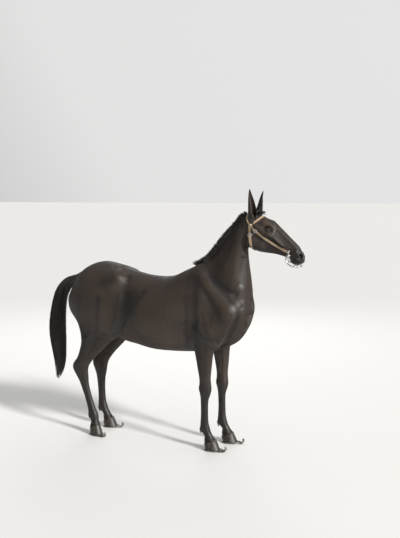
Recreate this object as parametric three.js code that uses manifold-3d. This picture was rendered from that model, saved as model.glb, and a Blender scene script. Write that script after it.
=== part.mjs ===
// A riding mule standing square with its head up, life size, bridled and shod.
// Millimetres, +Z up from the ground, +X towards the head, +Y to the animal's left.
import * as THREE from "three";
import { mergeVertices } from "three/addons/utils/BufferGeometryUtils.js";
import Module from "manifold-3d";

const wasm = await Module();
wasm.setup();

// Driving dimensions of the animal, in millimetres.
const withersHeight = 1440;
const croupHeight = 1440;
const backHeight = 1338;
const girthDepth = 690;
const barrelHalf = 262;
const pollHeight = 1840;
const pollForward = 795;
const headLength = 525;
const headDip = 31; // degrees that the skull's long axis points below the horizon
const earLength = 235;
const eyeRadius = 21;
const shoeThick = 9;
const partingGap = 0.3;
const earGap = 2; // kept free round each ear of straps and locks of hair
const bodyTriangles = 7900;
const eyeSeat = [189, 65, -25]; // the eyeball's middle in the head's frame
const lidLong = 20; // half of the opening between the lids
const lidHigh = 14;
const earThick = 5;
const strapWidth = 19;
const strapThick = 4;
const toeCurl = 24;
const maneFrom = 1478;
const maneTo = 1808;
const maneHeight = 52;
const maneCount = 46;
const tailLockWidth = 46;

const chestFloor = withersHeight - girthDepth;

// Each ear: where its foot and tip are, and how far its cup turns from straight ahead.
const ears = [
  { side: -1, foot: [808, -46, 1776], tip: [793, -72, 1788 + earLength], facing: 0.5 },
  { side: 1, foot: [806, 46, 1776], tip: [850, 74, 1774 + earLength], facing: 0.5 },
];

// Trunk sections from the buttocks to the breast: x, back line, belly line, half width.
const trunk = [
  { x: -792, top: 1190, bottom: 1110, half: 40 },
  { x: -775, top: 1262, bottom: 1035, half: 98 },
  { x: -725, top: 1322, bottom: 965, half: 150 },
  { x: -620, top: 1402, bottom: 880, half: 205 },
  { x: -490, top: croupHeight, bottom: 830, half: 232 },
  { x: -340, top: 1414, bottom: 806, half: 234 },
  { x: -180, top: 1364, bottom: 772, half: 240 },
  { x: -20, top: backHeight, bottom: 742, half: barrelHalf },
  { x: 140, top: 1346, bottom: 738, half: 256 },
  { x: 270, top: 1404, bottom: chestFloor - 8, half: 226 },
  { x: 370, top: withersHeight, bottom: chestFloor, half: 196 },
  { x: 480, top: 1420, bottom: chestFloor + 10, half: 184 },
  { x: 600, top: 1350, bottom: 800, half: 168 },
  { x: 700, top: 1270, bottom: 870, half: 142 },
  { x: 765, top: 1190, bottom: 975, half: 96 },
  { x: 792, top: 1120, bottom: 1065, half: 36 },
];

// Neck sections from the breast up to the poll: height, crest, throat line, half width.
const neck = [
  { z: 1000, back: 530, front: 690, half: 60 },
  { z: 1080, back: 470, front: 770, half: 120 },
  { z: 1200, back: 440, front: 792, half: 128 },
  { z: 1320, back: 400, front: 784, half: 120 },
  { z: 1420, back: 392, front: 772, half: 104 },
  { z: 1490, back: 458, front: 764, half: 90 },
  { z: 1560, back: 520, front: 758, half: 78 },
  { z: 1640, back: 578, front: 764, half: 71 },
  { z: 1720, back: 640, front: 790, half: 66 },
  { z: 1790, back: 712, front: 810, half: 56 },
  { z: 1832, back: 772, front: 815, half: 34 },
];

// Skull sections along the head's axis from the poll: u, face line, underside, half width.
const skull = [
  { u: -48, top: -62, bottom: -96, half: 16 },
  { u: -25, top: -18, bottom: -124, half: 46 },
  { u: 15, top: 6, bottom: -140, half: 64 },
  { u: 70, top: 26, bottom: -148, half: 78 },
  { u: 130, top: 36, bottom: -146, half: 84 },
  { u: 185, top: 34, bottom: -140, half: 80 },
  { u: 245, top: 22, bottom: -130, half: 64 },
  { u: 325, top: 4, bottom: -118, half: 50 },
  { u: 400, top: -13, bottom: -112, half: 44 },
  { u: 455, top: -26, bottom: -110, half: 44 },
  { u: 500, top: -44, bottom: -114, half: 45 },
  { u: 530, top: -68, bottom: -116, half: 34 },
  { u: 542, top: -88, bottom: -106, half: 12 },
];

// Lower jaw sections along the same axis.
const jaw = [
  { u: 30, top: -110, bottom: -150, half: 22 },
  { u: 50, top: -96, bottom: -192, half: 44 },
  { u: 90, top: -90, bottom: -224, half: 54 },
  { u: 140, top: -88, bottom: -236, half: 56 },
  { u: 200, top: -86, bottom: -226, half: 52 },
  { u: 260, top: -84, bottom: -200, half: 44 },
  { u: 330, top: -82, bottom: -168, half: 36 },
  { u: 400, top: -84, bottom: -148, half: 32 },
  { u: 445, top: -92, bottom: -142, half: 31 },
  { u: 478, top: -100, bottom: -152, half: 33 },
  { u: 508, top: -108, bottom: -146, half: 29 },
  { u: 524, top: -118, bottom: -134, half: 12 },
];

// Foreleg outline about the limb's axis, from the elbow to inside the hoof.
const foreleg = [
  { z: 1010, front: 96, back: 108, half: 60 },
  { z: 900, front: 92, back: 108, half: 62 },
  { z: 820, front: 80, back: 96, half: 60 },
  { z: 740, front: 68, back: 76, half: 54 },
  { z: 650, front: 58, back: 60, half: 46 },
  { z: 570, front: 49, back: 48, half: 40 },
  { z: 525, front: 50, back: 48, half: 41 },
  { z: 482, front: 53, back: 54, half: 45 },
  { z: 440, front: 45, back: 44, half: 38 },
  { z: 395, front: 31, back: 38, half: 27 },
  { z: 300, front: 28, back: 35, half: 24 },
  { z: 220, front: 31, back: 38, half: 26 },
  { z: 165, front: 38, back: 46, half: 33 },
  { z: 138, front: 35, back: 45, half: 32 },
  { z: 108, front: 34, back: 38, half: 32 },
  { z: 80, front: 44, back: 52, half: 40 },
  { z: 40, front: 50, back: 62, half: 43 },
];

// Hind leg outline about the limb's axis, from the hip to inside the hoof.
const hindleg = [
  { z: 1260, front: 150, back: 190, half: 60 },
  { z: 1130, front: 200, back: 232, half: 84 },
  { z: 980, front: 196, back: 196, half: 86 },
  { z: 870, front: 168, back: 172, half: 74 },
  { z: 780, front: 128, back: 134, half: 58 },
  { z: 700, front: 92, back: 108, half: 46 },
  { z: 640, front: 70, back: 92, half: 37 },
  { z: 585, front: 62, back: 94, half: 36 },
  { z: 545, front: 62, back: 84, half: 38 },
  { z: 490, front: 56, back: 60, half: 37 },
  { z: 430, front: 40, back: 46, half: 29 },
  { z: 330, front: 32, back: 38, half: 25 },
  { z: 230, front: 33, back: 40, half: 26 },
  { z: 170, front: 40, back: 48, half: 33 },
  { z: 140, front: 37, back: 46, half: 32 },
  { z: 108, front: 34, back: 38, half: 32 },
  { z: 80, front: 42, back: 50, half: 39 },
  { z: 40, front: 47, back: 59, half: 41 },
];

// Where each limb's axis runs: height against x, and the distance from the midline.
const stance = {
  foreleg_right: {
    side: -1, outline: foreleg, toeOut: 4,
    axis: [
      { z: 1010, x: 490, y: 138 }, { z: 820, x: 462, y: 142 }, { z: 650, x: 456, y: 136 },
      { z: 482, x: 456, y: 126 }, { z: 300, x: 452, y: 121 }, { z: 165, x: 456, y: 118 },
      { z: 108, x: 486, y: 118 }, { z: 40, x: 512, y: 118 },
    ],
  },
  foreleg_left: {
    side: 1, outline: foreleg, toeOut: 3,
    axis: [
      { z: 1010, x: 500, y: 138 }, { z: 820, x: 485, y: 142 }, { z: 650, x: 492, y: 136 },
      { z: 482, x: 498, y: 126 }, { z: 300, x: 502, y: 121 }, { z: 165, x: 508, y: 118 },
      { z: 108, x: 540, y: 118 }, { z: 40, x: 566, y: 118 },
    ],
  },
  hindleg_right: {
    side: -1, outline: hindleg, toeOut: 24,
    axis: [
      { z: 1260, x: -500, y: 130 }, { z: 1130, x: -522, y: 148 }, { z: 980, x: -496, y: 150 },
      { z: 870, x: -486, y: 146 }, { z: 780, x: -518, y: 138 }, { z: 700, x: -566, y: 131 },
      { z: 640, x: -608, y: 126 }, { z: 545, x: -664, y: 120 }, { z: 430, x: -640, y: 118 },
      { z: 300, x: -598, y: 118 }, { z: 165, x: -552, y: 120 }, { z: 108, x: -536, y: 127 },
      { z: 40, x: -524, y: 132 },
    ],
  },
  hindleg_left: {
    side: 1, outline: hindleg, toeOut: 9,
    axis: [
      { z: 1260, x: -500, y: 130 }, { z: 1130, x: -520, y: 148 }, { z: 980, x: -490, y: 150 },
      { z: 870, x: -474, y: 146 }, { z: 780, x: -496, y: 138 }, { z: 700, x: -534, y: 131 },
      { z: 640, x: -568, y: 126 }, { z: 545, x: -616, y: 120 }, { z: 430, x: -616, y: 118 },
      { z: 300, x: -611, y: 117 }, { z: 165, x: -598, y: 117 }, { z: 108, x: -562, y: 117 },
      { z: 40, x: -532, y: 117 },
    ],
  },
};

// A smooth curve through the stations: cubic pieces whose slope at each station is its neighbours' slope.
function curveThrough(stations, along, value) {
  const at = stations.map((s) => s[along]);
  const high = stations.map((s) => s[value]);
  if (at[0] > at[at.length - 1]) {
    at.reverse();
    high.reverse();
  }
  const last = at.length - 1;
  const slope = at.map((_, i) => {
    const a = Math.max(i - 1, 0);
    const b = Math.min(i + 1, last);
    return (high[b] - high[a]) / (at[b] - at[a]);
  });
  return (t) => {
    if (t <= at[0]) return high[0];
    if (t >= at[last]) return high[last];
    let i = 0;
    while (t > at[i + 1]) i += 1;
    const span = at[i + 1] - at[i];
    const f = (t - at[i]) / span;
    const g = 1 - f;
    return (
      high[i] * (1 + 2 * f) * g * g + high[i + 1] * (3 - 2 * f) * f * f +
      span * (slope[i] * f * g * g - slope[i + 1] * f * f * g)
    );
  };
}

// Distance to an egg-shaped section: a across, b upwards, narrowed towards its top by a share.
function eggDistance(a, b, halfA, halfB, narrow) {
  const width = halfA * (1 - narrow * Math.max(-1, Math.min(1, b / halfB)));
  const reach = Math.hypot(a, b) + 1e-6;
  const scaled = Math.hypot(a / width, b / halfB) + 1e-6;
  return reach - reach / scaled;
}

// Two distances joined with a fillet about as wide as the given blend.
function smoothUnion(a, b, blend) {
  const near = Math.max(blend - Math.abs(a - b), 0) / blend;
  return Math.min(a, b) - (near * near * blend) / 4;
}

// A bar between two points whose radius changes evenly, as most muscles do.
function taperedBar(from, to, fromRadius, toRadius) {
  const [ax, ay, az] = from;
  const dx = to[0] - ax;
  const dy = to[1] - ay;
  const dz = to[2] - az;
  const long2 = dx * dx + dy * dy + dz * dz;
  return (x, y, z) => {
    const t = ((x - ax) * dx + (y - ay) * dy + (z - az) * dz) / long2;
    const f = Math.max(0, Math.min(1, t));
    const away = Math.hypot(x - ax - f * dx, y - ay - f * dy, z - az - f * dz);
    return away - fromRadius - f * (toRadius - fromRadius);
  };
}

// The box round a bar, grown by what its fillet can reach.
function barBox(from, to, radius, blend) {
  const grow = radius + blend;
  return {
    low: from.map((v, i) => Math.min(v, to[i]) - grow),
    high: from.map((v, i) => Math.max(v, to[i]) + grow),
  };
}

function trunkForm() {
  const top = curveThrough(trunk, "x", "top");
  const bottom = curveThrough(trunk, "x", "bottom");
  const half = curveThrough(trunk, "x", "half");
  const first = trunk[0].x;
  const last = trunk[trunk.length - 1].x;
  return {
    low: [first - 60, -360, 640],
    high: [last + 60, 360, 1540],
    blend: 60,
    field: (x, y, z) => {
      const t = Math.max(first, Math.min(last, x));
      const high = (top(t) - bottom(t)) / 2;
      const middle = (top(t) + bottom(t)) / 2;
      const side = eggDistance(y, z - middle, half(t), high, 0.16);
      const past = Math.abs(x - t);
      return past > 0 ? Math.hypot(Math.max(side, 0), past) : side;
    },
  };
}

function columnForm(rows, axisX, axisY, narrow, blend, reach) {
  const front = curveThrough(rows, "z", "front");
  const back = curveThrough(rows, "z", "back");
  const half = curveThrough(rows, "z", "half");
  const heights = rows.map((r) => r.z);
  const first = Math.min(...heights);
  const last = Math.max(...heights);
  const lowX = Math.min(...heights.map((z) => axisX(z) - back(z)));
  const highX = Math.max(...heights.map((z) => axisX(z) + front(z)));
  const sideY = heights.map((z) => axisY(z));
  const widest = Math.max(...heights.map((z) => half(z)));
  return {
    low: [lowX - reach, Math.min(...sideY) - reach - widest, first - 10],
    high: [highX + reach, Math.max(...sideY) + reach + widest, last + reach],
    blend,
    field: (x, y, z) => {
      const t = Math.max(first, Math.min(last, z));
      const long = (front(t) + back(t)) / 2;
      const middle = axisX(t) + (front(t) - back(t)) / 2;
      const side = eggDistance(y - axisY(t), middle - x, half(t), long, narrow);
      const past = Math.abs(z - t);
      return past > 0 ? Math.hypot(Math.max(side, 0), past) : side;
    },
  };
}

function neckForm() {
  const rows = neck.map((r) => ({ z: r.z, front: r.front, back: -r.back, half: r.half }));
  return columnForm(rows, () => 0, () => 0, 0.3, 90, 110);
}

function legForm(limb) {
  const axisX = curveThrough(limb.axis, "z", "x");
  const axisY = curveThrough(limb.axis, "z", "y");
  return columnForm(limb.outline, axisX, (z) => limb.side * axisY(z), 0.12, 55, 70);
}

// The head's own frame: u from the poll along the skull, v up from the face, y sideways.
const headScale = headLength / 542;
const headTurn = new THREE.Matrix4().makeBasis(
  new THREE.Vector3(Math.cos(headDip * Math.PI / 180), 0, -Math.sin(headDip * Math.PI / 180)),
  new THREE.Vector3(0, 1, 0),
  new THREE.Vector3(Math.sin(headDip * Math.PI / 180), 0, Math.cos(headDip * Math.PI / 180)),
);
const headPlace = new THREE.Matrix4()
  .makeTranslation(pollForward, 0, pollHeight)
  .multiply(headTurn)
  .multiply(new THREE.Matrix4().makeScale(headScale, headScale, headScale));
const intoHead = headPlace.clone().invert();

function headPoint(u, y, v) {
  const p = new THREE.Vector3(u, y, v).applyMatrix4(headPlace);
  return [p.x, p.y, p.z];
}

function headLoft(rows, narrow, blend) {
  const top = curveThrough(rows, "u", "top");
  const bottom = curveThrough(rows, "u", "bottom");
  const half = curveThrough(rows, "u", "half");
  const first = rows[0].u;
  const last = rows[rows.length - 1].u;
  const m = intoHead.elements;
  return {
    low: [640, -170, 1340],
    high: [1300, 170, 1930],
    blend,
    field: (x, y, z) => {
      const u = m[0] * x + m[8] * z + m[12];
      const across = m[5] * y;
      const v = m[2] * x + m[10] * z + m[14];
      const t = Math.max(first, Math.min(last, u));
      const high = (top(t) - bottom(t)) / 2;
      const middle = (top(t) + bottom(t)) / 2;
      const side = eggDistance(across, v - middle, half(t), high, narrow);
      const past = Math.abs(u - t);
      return headScale * (past > 0 ? Math.hypot(Math.max(side, 0), past) : side);
    },
  };
}

// Both muscles of a pair, or the one on the midline where both ends have y = 0.
function musclePair(from, to, fromRadius, toRadius, blend) {
  const sides = from[1] === 0 && to[1] === 0 ? [1] : [-1, 1];
  return sides.map((side) => {
    const a = [from[0], side * from[1], from[2]];
    const b = [to[0], side * to[1], to[2]];
    return {
      ...barBox(a, b, Math.max(fromRadius, toRadius), blend),
      blend,
      field: taperedBar(a, b, fromRadius, toRadius),
    };
  });
}

function headMuscle(from, to, fromRadius, toRadius, blend) {
  return musclePair(
    headPoint(...from), headPoint(...to), fromRadius * headScale, toRadius * headScale, blend,
  );
}

// Muscles and bones that shape the trunk and upper limbs.
function bodyMuscles() {
  return [
    ...musclePair([405, 58, 1335], [640, 104, 1105], 78, 84, 70),
    ...musclePair([655, 108, 1090], [520, 128, 925], 80, 76, 60),
    ...musclePair([400, 104, 1180], [470, 132, 935], 82, 72, 70),
    ...musclePair([700, 58, 1120], [615, 66, 905], 72, 64, 50),
    ...musclePair([-345, 94, 1282], [-545, 104, 1290], 84, 96, 90),
    ...musclePair([-300, 150, 1306], [-326, 150, 1280], 38, 46, 90),
    ...musclePair([-590, 96, 1240], [-676, 88, 1060], 96, 80, 80),
    ...musclePair([-352, 142, 960], [-374, 148, 880], 66, 52, 70),
    ...musclePair([-300, 118, 960], [-200, 120, 900], 60, 60, 80),
  ];
}

function headMuscles() {
  return [
    ...headMuscle([88, 40, -120], [112, 36, -176], 40, 44, 34),
    ...headMuscle([112, 36, -176], [186, 36, -168], 46, 34, 34),
    ...headMuscle([130, 60, -4], [196, 66, 0], 20, 17, 26),
    ...headMuscle(eyeSeat, [191, 65, -25], eyeRadius + 7, eyeRadius + 7, 16),
    ...headMuscle([215, 72, -56], [345, 44, -76], 13, 9, 24),
    ...headMuscle([92, 80, -62], [200, 74, -56], 12, 14, 26),
    ...headMuscle([180, 0, 12], [440, 0, -44], 26, 22, 34),
    ...headMuscle([462, 32, -62], [504, 31, -72], 20, 20, 20),
    ...headMuscle([500, 17, -98], [520, 13, -100], 26, 22, 16),
    ...headMuscle([440, 30, -102], [490, 24, -104], 14, 16, 14),
    ...headMuscle([470, 8, -134], [502, 6, -132], 24, 20, 14),
  ];
}

// The fleshy dock of the tail, from the croup out and down.
const dock = [
  [-700, 0, 1290], [-800, 0, 1268], [-868, 0, 1210], [-912, 0, 1110], [-934, 0, 1000], [-944, 0, 900],
];
const dockRadius = [52, 40, 35, 31, 26, 16];

function dockForms() {
  return dock.slice(1).flatMap((to, i) =>
    musclePair(dock[i], to, dockRadius[i], dockRadius[i + 1], i === 0 ? 50 : 12));
}

const forms = [
  trunkForm(),
  neckForm(),
  ...Object.values(stance).map(legForm),
  ...bodyMuscles(),
  ...dockForms(),
  headLoft(skull, 0.12, 40),
  headLoft(jaw, -0.05, 40),
  ...headMuscles(),
];

// Grid lines between two ends, close together inside the fine stretch and wide outside it.
function gridLines(from, to, wide, fine, fineFrom, fineTo) {
  const lines = [from];
  while (lines[lines.length - 1] < to) {
    const at = lines[lines.length - 1];
    const out = Math.max(fineFrom - at - wide, at - fineTo, 0);
    lines.push(at + Math.min(wide, fine + out * 0.3));
  }
  return lines;
}

// Values of the joined forms at every grid point, each form worked out only inside its own box.
function sampleForms(xs, ys, zs) {
  const values = new Float32Array(xs.length * ys.length * zs.length).fill(1000);
  for (const form of forms) {
    const inside = (lines, axis) => {
      const a = lines.findIndex((v) => v >= form.low[axis]);
      const b = lines.findLastIndex((v) => v <= form.high[axis]);
      return [a < 0 ? lines.length : a, b];
    };
    const [x0, x1] = inside(xs, 0);
    const [y0, y1] = inside(ys, 1);
    const [z0, z1] = inside(zs, 2);
    for (let k = z0; k <= z1; k += 1) {
      for (let j = y0; j <= y1; j += 1) {
        for (let i = x0; i <= x1; i += 1) {
          const n = i + xs.length * (j + ys.length * k);
          values[n] = smoothUnion(values[n], form.field(xs[i], ys[j], zs[k]), form.blend);
        }
      }
    }
  }
  return values;
}

// Fills the grid points where two parts of the form meet only along an edge of the grid.
function fillPinches(size, step, values) {
  let filled = 1;
  while (filled) {
    filled = 0;
    for (let n = 0; n < values.length - step[1] - step[2]; n += 1) {
      for (const axis of [0, 1, 2]) {
        const p = step[(axis + 1) % 3];
        const q = step[(axis + 2) % 3];
        const [a, b, c, d] = [values[n], values[n + p], values[n + p + q], values[n + q]];
        if (a < 0 !== c < 0 || b < 0 !== d < 0 || a < 0 === b < 0) continue;
        const low = a < 0 ? (b < d ? n + p : n + q) : (a < c ? n : n + p + q);
        values[low] = -0.01;
        filled += 1;
      }
    }
  }
}

// A closed mesh of the surface where the values change sign: one vertex in each mixed cell,
// at the mean of its edge crossings, and one quad round each mixed edge.
function surfaceNet(xs, ys, zs, values) {
  const size = [xs.length, ys.length, zs.length];
  const step = [1, size[0], size[0] * size[1]];
  const lines = [xs, ys, zs];
  fillPinches(size, step, values);
  const corners = [0, 1, 2, 3, 4, 5, 6, 7].map((c) => [c & 1, (c >> 1) & 1, (c >> 2) & 1]);
  const edges = corners.flatMap((a, i) =>
    [0, 1, 2].filter((axis) => !a[axis]).map((axis) => [i, i | (1 << axis)]));
  const cellVertex = new Map();
  const points = [];
  const vertexOf = (n, cell) => {
    if (cellVertex.has(n)) return cellVertex.get(n);
    const at = corners.map((c) => values[n + c[0] * step[0] + c[1] * step[1] + c[2] * step[2]]);
    const sum = [0, 0, 0];
    let count = 0;
    for (const [a, b] of edges) {
      if (at[a] < 0 === at[b] < 0) continue;
      const f = at[a] / (at[a] - at[b]);
      for (const axis of [0, 1, 2]) {
        const low = lines[axis][cell[axis]];
        const wide = lines[axis][cell[axis] + 1] - low;
        sum[axis] += low + wide * (corners[a][axis] + f * (corners[b][axis] - corners[a][axis]));
      }
      count += 1;
    }
    points.push(sum[0] / count, sum[1] / count, sum[2] / count);
    cellVertex.set(n, points.length / 3 - 1);
    return points.length / 3 - 1;
  };
  const faces = [];
  for (let k = 1; k < size[2] - 1; k += 1) {
    for (let j = 1; j < size[1] - 1; j += 1) {
      for (let i = 1; i < size[0] - 1; i += 1) {
        const n = i + j * step[1] + k * step[2];
        for (const axis of [0, 1, 2]) {
          const inside = values[n] < 0;
          if (inside === values[n + step[axis]] < 0) continue;
          const [p, q] = [(axis + 1) % 3, (axis + 2) % 3];
          const around = [[0, 0], [1, 0], [1, 1], [0, 1]].map(([a, b]) => {
            const cell = [i, j, k];
            cell[p] -= a;
            cell[q] -= b;
            return vertexOf(n - a * step[p] - b * step[q], cell);
          });
          const [a, b, c, d] = inside ? around : around.reverse();
          faces.push(a, b, c, a, c, d);
        }
      }
    }
  }
  return { points, faces };
}

// Collapses the edges whose loss changes the surface least, until the triangle count is reached.
function simplify(mesh, target, weightAt) {
  const p = Float64Array.from(mesh.points);
  const faces = Int32Array.from(mesh.faces);
  const count = p.length / 3;
  const quadric = new Float64Array(count * 10);
  const touching = Array.from({ length: count }, () => new Set());
  const version = new Int32Array(count);
  const normal = (a, b, c, q = p) => {
    const ux = q[3 * b] - q[3 * a];
    const uy = q[3 * b + 1] - q[3 * a + 1];
    const uz = q[3 * b + 2] - q[3 * a + 2];
    const vx = q[3 * c] - q[3 * a];
    const vy = q[3 * c + 1] - q[3 * a + 1];
    const vz = q[3 * c + 2] - q[3 * a + 2];
    return [uy * vz - uz * vy, uz * vx - ux * vz, ux * vy - uy * vx];
  };
  for (let f = 0; f < faces.length; f += 3) {
    const [a, b, c] = [faces[f], faces[f + 1], faces[f + 2]];
    const n = normal(a, b, c);
    const area = Math.hypot(...n) || 1e-9;
    const [x, y, z] = n.map((v) => v / area);
    const d = -(x * p[3 * a] + y * p[3 * a + 1] + z * p[3 * a + 2]);
    const w = (area / 2) * weightAt(p[3 * a], p[3 * a + 1], p[3 * a + 2]);
    const plane = [x * x, x * y, x * z, x * d, y * y, y * z, y * d, z * z, z * d, d * d];
    for (const v of [a, b, c]) {
      touching[v].add(f);
      plane.forEach((value, i) => (quadric[10 * v + i] += w * value));
    }
  }
  const errorAt = (q, x, y, z) =>
    q[0] * x * x + 2 * q[1] * x * y + 2 * q[2] * x * z + 2 * q[3] * x + q[4] * y * y +
    2 * q[5] * y * z + 2 * q[6] * y + q[7] * z * z + 2 * q[8] * z + q[9];
  const bestPoint = (a, b) => {
    const q = Array.from({ length: 10 }, (_, i) => quadric[10 * a + i] + quadric[10 * b + i]);
    const middle = [0, 1, 2].map((i) => (p[3 * a + i] + p[3 * b + i]) / 2);
    const keep = 1e-3 * (q[0] + q[4] + q[7]);
    const m = [q[0] + keep, q[1], q[2], q[4] + keep, q[5], q[7] + keep];
    const r = [keep * middle[0] - q[3], keep * middle[1] - q[6], keep * middle[2] - q[8]];
    const c00 = m[3] * m[5] - m[4] * m[4];
    const c01 = m[2] * m[4] - m[1] * m[5];
    const c02 = m[1] * m[4] - m[2] * m[3];
    const det = m[0] * c00 + m[1] * c01 + m[2] * c02;
    const c11 = m[0] * m[5] - m[2] * m[2];
    const c12 = m[1] * m[2] - m[0] * m[4];
    const c22 = m[0] * m[3] - m[1] * m[1];
    const at = [
      (c00 * r[0] + c01 * r[1] + c02 * r[2]) / det,
      (c01 * r[0] + c11 * r[1] + c12 * r[2]) / det,
      (c02 * r[0] + c12 * r[1] + c22 * r[2]) / det,
    ];
    return { at, cost: errorAt(q, ...at) };
  };
  const heap = [];
  const push = (item) => {
    let i = heap.length;
    heap.push(item);
    while (i > 0) {
      const parent = (i - 1) >> 1;
      if (heap[parent].cost <= item.cost) break;
      heap[i] = heap[parent];
      i = parent;
    }
    heap[i] = item;
  };
  const pop = () => {
    const top = heap[0];
    const item = heap.pop();
    if (!heap.length) return top;
    let i = 0;
    for (;;) {
      let child = 2 * i + 1;
      if (child >= heap.length) break;
      if (child + 1 < heap.length && heap[child + 1].cost < heap[child].cost) child += 1;
      if (heap[child].cost >= item.cost) break;
      heap[i] = heap[child];
      i = child;
    }
    heap[i] = item;
    return top;
  };
  const offer = (a, b) => push({ a, b, va: version[a], vb: version[b], ...bestPoint(a, b) });
  const neighbours = (v) => {
    const found = new Set();
    for (const f of touching[v]) {
      for (const w of [faces[f], faces[f + 1], faces[f + 2]]) if (w !== v) found.add(w);
    }
    return found;
  };
  for (let v = 0; v < count; v += 1) for (const w of neighbours(v)) if (w > v) offer(v, w);
  let triangles = faces.length / 3;
  const flips = (v, other, at) => {
    for (const f of touching[v]) {
      const tri = [faces[f], faces[f + 1], faces[f + 2]];
      if (tri.includes(other)) continue;
      const before = normal(...tri);
      const old = [p[3 * v], p[3 * v + 1], p[3 * v + 2]];
      p.set(at, 3 * v);
      const after = normal(...tri);
      p.set(old, 3 * v);
      const dot = before[0] * after[0] + before[1] * after[1] + before[2] * after[2];
      if (dot < 0.35 * Math.hypot(...before) * Math.hypot(...after)) return true;
    }
    return false;
  };
  while (triangles > target && heap.length) {
    const { a, b, va, vb, at } = pop();
    if (version[a] !== va || version[b] !== vb) continue;
    const shared = [...neighbours(a)].filter((v) => neighbours(b).has(v));
    if (shared.length !== 2 || flips(a, b, at) || flips(b, a, at)) continue;
    p.set(at, 3 * a);
    for (let i = 0; i < 10; i += 1) quadric[10 * a + i] += quadric[10 * b + i];
    for (const f of [...touching[b]]) {
      const tri = [faces[f], faces[f + 1], faces[f + 2]];
      if (tri.includes(a)) {
        tri.forEach((v) => touching[v].delete(f));
        faces.fill(-1, f, f + 3);
        triangles -= 1;
      } else {
        faces[f + tri.indexOf(b)] = a;
        touching[a].add(f);
      }
    }
    touching[b].clear();
    version[a] += 1;
    version[b] += 1;
    for (const v of neighbours(a)) offer(a, v);
  }
  return { points: p, faces: faces.filter((v) => v >= 0) };
}

function geometryOf({ points, faces }) {
  const geometry = new THREE.BufferGeometry();
  geometry.setAttribute("position", new THREE.Float32BufferAttribute(points, 3));
  geometry.setIndex([...faces]);
  return geometry;
}

// three.js geometry as a manifold-3d solid.
function solidOf(geometry) {
  const bare = new THREE.BufferGeometry();
  bare.setAttribute("position", geometry.getAttribute("position"));
  bare.setIndex(geometry.index);
  const merged = mergeVertices(bare, 1e-4);
  return new wasm.Manifold(new wasm.Mesh({
    numProp: 3,
    vertProperties: merged.attributes.position.array,
    triVerts: new Uint32Array(merged.index.array),
  }));
}

const xs = gridLines(-1000, 1300, 22, 11, 760, 1230);
const ys = gridLines(-330, 330, 18, 11, -90, 90);
const zs = gridLines(-30, 1930, 22, 12, 1440, 1880);
const wholeBody = surfaceNet(xs, ys, zs, sampleForms(xs, ys, zs));

// The joined forms' value at one point: negative inside the body.
function bodyField(x, y, z) {
  let value = 1000;
  for (const form of forms) {
    const p = [x, y, z];
    if (p.some((v, i) => v < form.low[i] || v > form.high[i])) continue;
    value = smoothUnion(value, form.field(x, y, z), form.blend);
  }
  return value;
}

function bodyNormal(p) {
  const d = 2;
  return new THREE.Vector3(
    bodyField(p.x + d, p.y, p.z) - bodyField(p.x - d, p.y, p.z),
    bodyField(p.x, p.y + d, p.z) - bodyField(p.x, p.y - d, p.z),
    bodyField(p.x, p.y, p.z + d) - bodyField(p.x, p.y, p.z - d),
  ).normalize();
}

// The nearest skin point, found by a few steps down the field's slope.
function ontoSkin(point) {
  const p = point.clone();
  for (let step = 0; step < 12; step += 1) {
    p.addScaledVector(bodyNormal(p), -0.8 * bodyField(p.x, p.y, p.z));
  }
  return p;
}

// The skin moved outwards by a small clearance, for cutting what lies against it.
function grown({ points, faces }, clearance) {
  const geometry = geometryOf({ points, faces });
  geometry.computeVertexNormals();
  const normals = geometry.getAttribute("normal").array;
  return { points: [...points].map((v, i) => v + clearance * normals[i]), faces };
}

// A closed skin over rings of points with equal counts, flat across its two ends.
function skinOver(rings) {
  const sides = rings[0].length;
  const faces = [];
  const last = (rings.length - 1) * sides;
  for (let j = 0; j < sides; j += 1) {
    const next = (j + 1) % sides;
    for (let i = 0; i < last; i += sides) {
      faces.push(i + j, i + next, i + next + sides, i + j, i + next + sides, i + j + sides);
    }
  }
  for (let a = 0; a < sides / 2 - 1; a += 1) {
    const [b, c, d] = [a + 1, sides - 2 - a, sides - 1 - a];
    faces.push(a, d, c, a, c, b);
    faces.push(last + a, last + b, last + c, last + a, last + c, last + d);
  }
  const points = rings.flat().flatMap((p) => [p.x, p.y, p.z]);
  return solidOf(geometryOf({ points, faces }));
}

function meshOf(solid) {
  const { vertProperties, triVerts } = solid.getMesh();
  return { points: vertProperties, faces: triVerts };
}

function joined(solids) {
  return solids.reduce((all, one) => all.add(one));
}

// The largest closed surface, so that a hollow sealed by joining is filled and a scrap is dropped.
function largest(solid) {
  return solid.decompose().reduce((a, b) => (b.volume() > a.volume() ? b : a));
}

function placed(geometry, matrix) {
  return solidOf(geometry.clone().applyMatrix4(matrix));
}

// A thin slab through a point, square to a direction, for parting the body.
function partingSlab(point, normal, run, halfRun, halfWide) {
  const n = new THREE.Vector3(...normal).normalize();
  const a = new THREE.Vector3(...run).normalize();
  const b = new THREE.Vector3().crossVectors(n, a).normalize();
  const turn = new THREE.Matrix4().makeBasis(a, b, n).setPosition(...point);
  return placed(new THREE.BoxGeometry(2 * halfRun, 2 * halfWide, partingGap), turn);
}

// Locks of hair: flat, tapered and bent.
const random = seededRandom(7);

function seededRandom(seed) {
  let state = seed;
  return () => {
    state = (state * 1103515245 + 12345) % 2147483648;
    return state / 2147483648;
  };
}

const spread = (size) => size * (2 * random() - 1);

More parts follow.
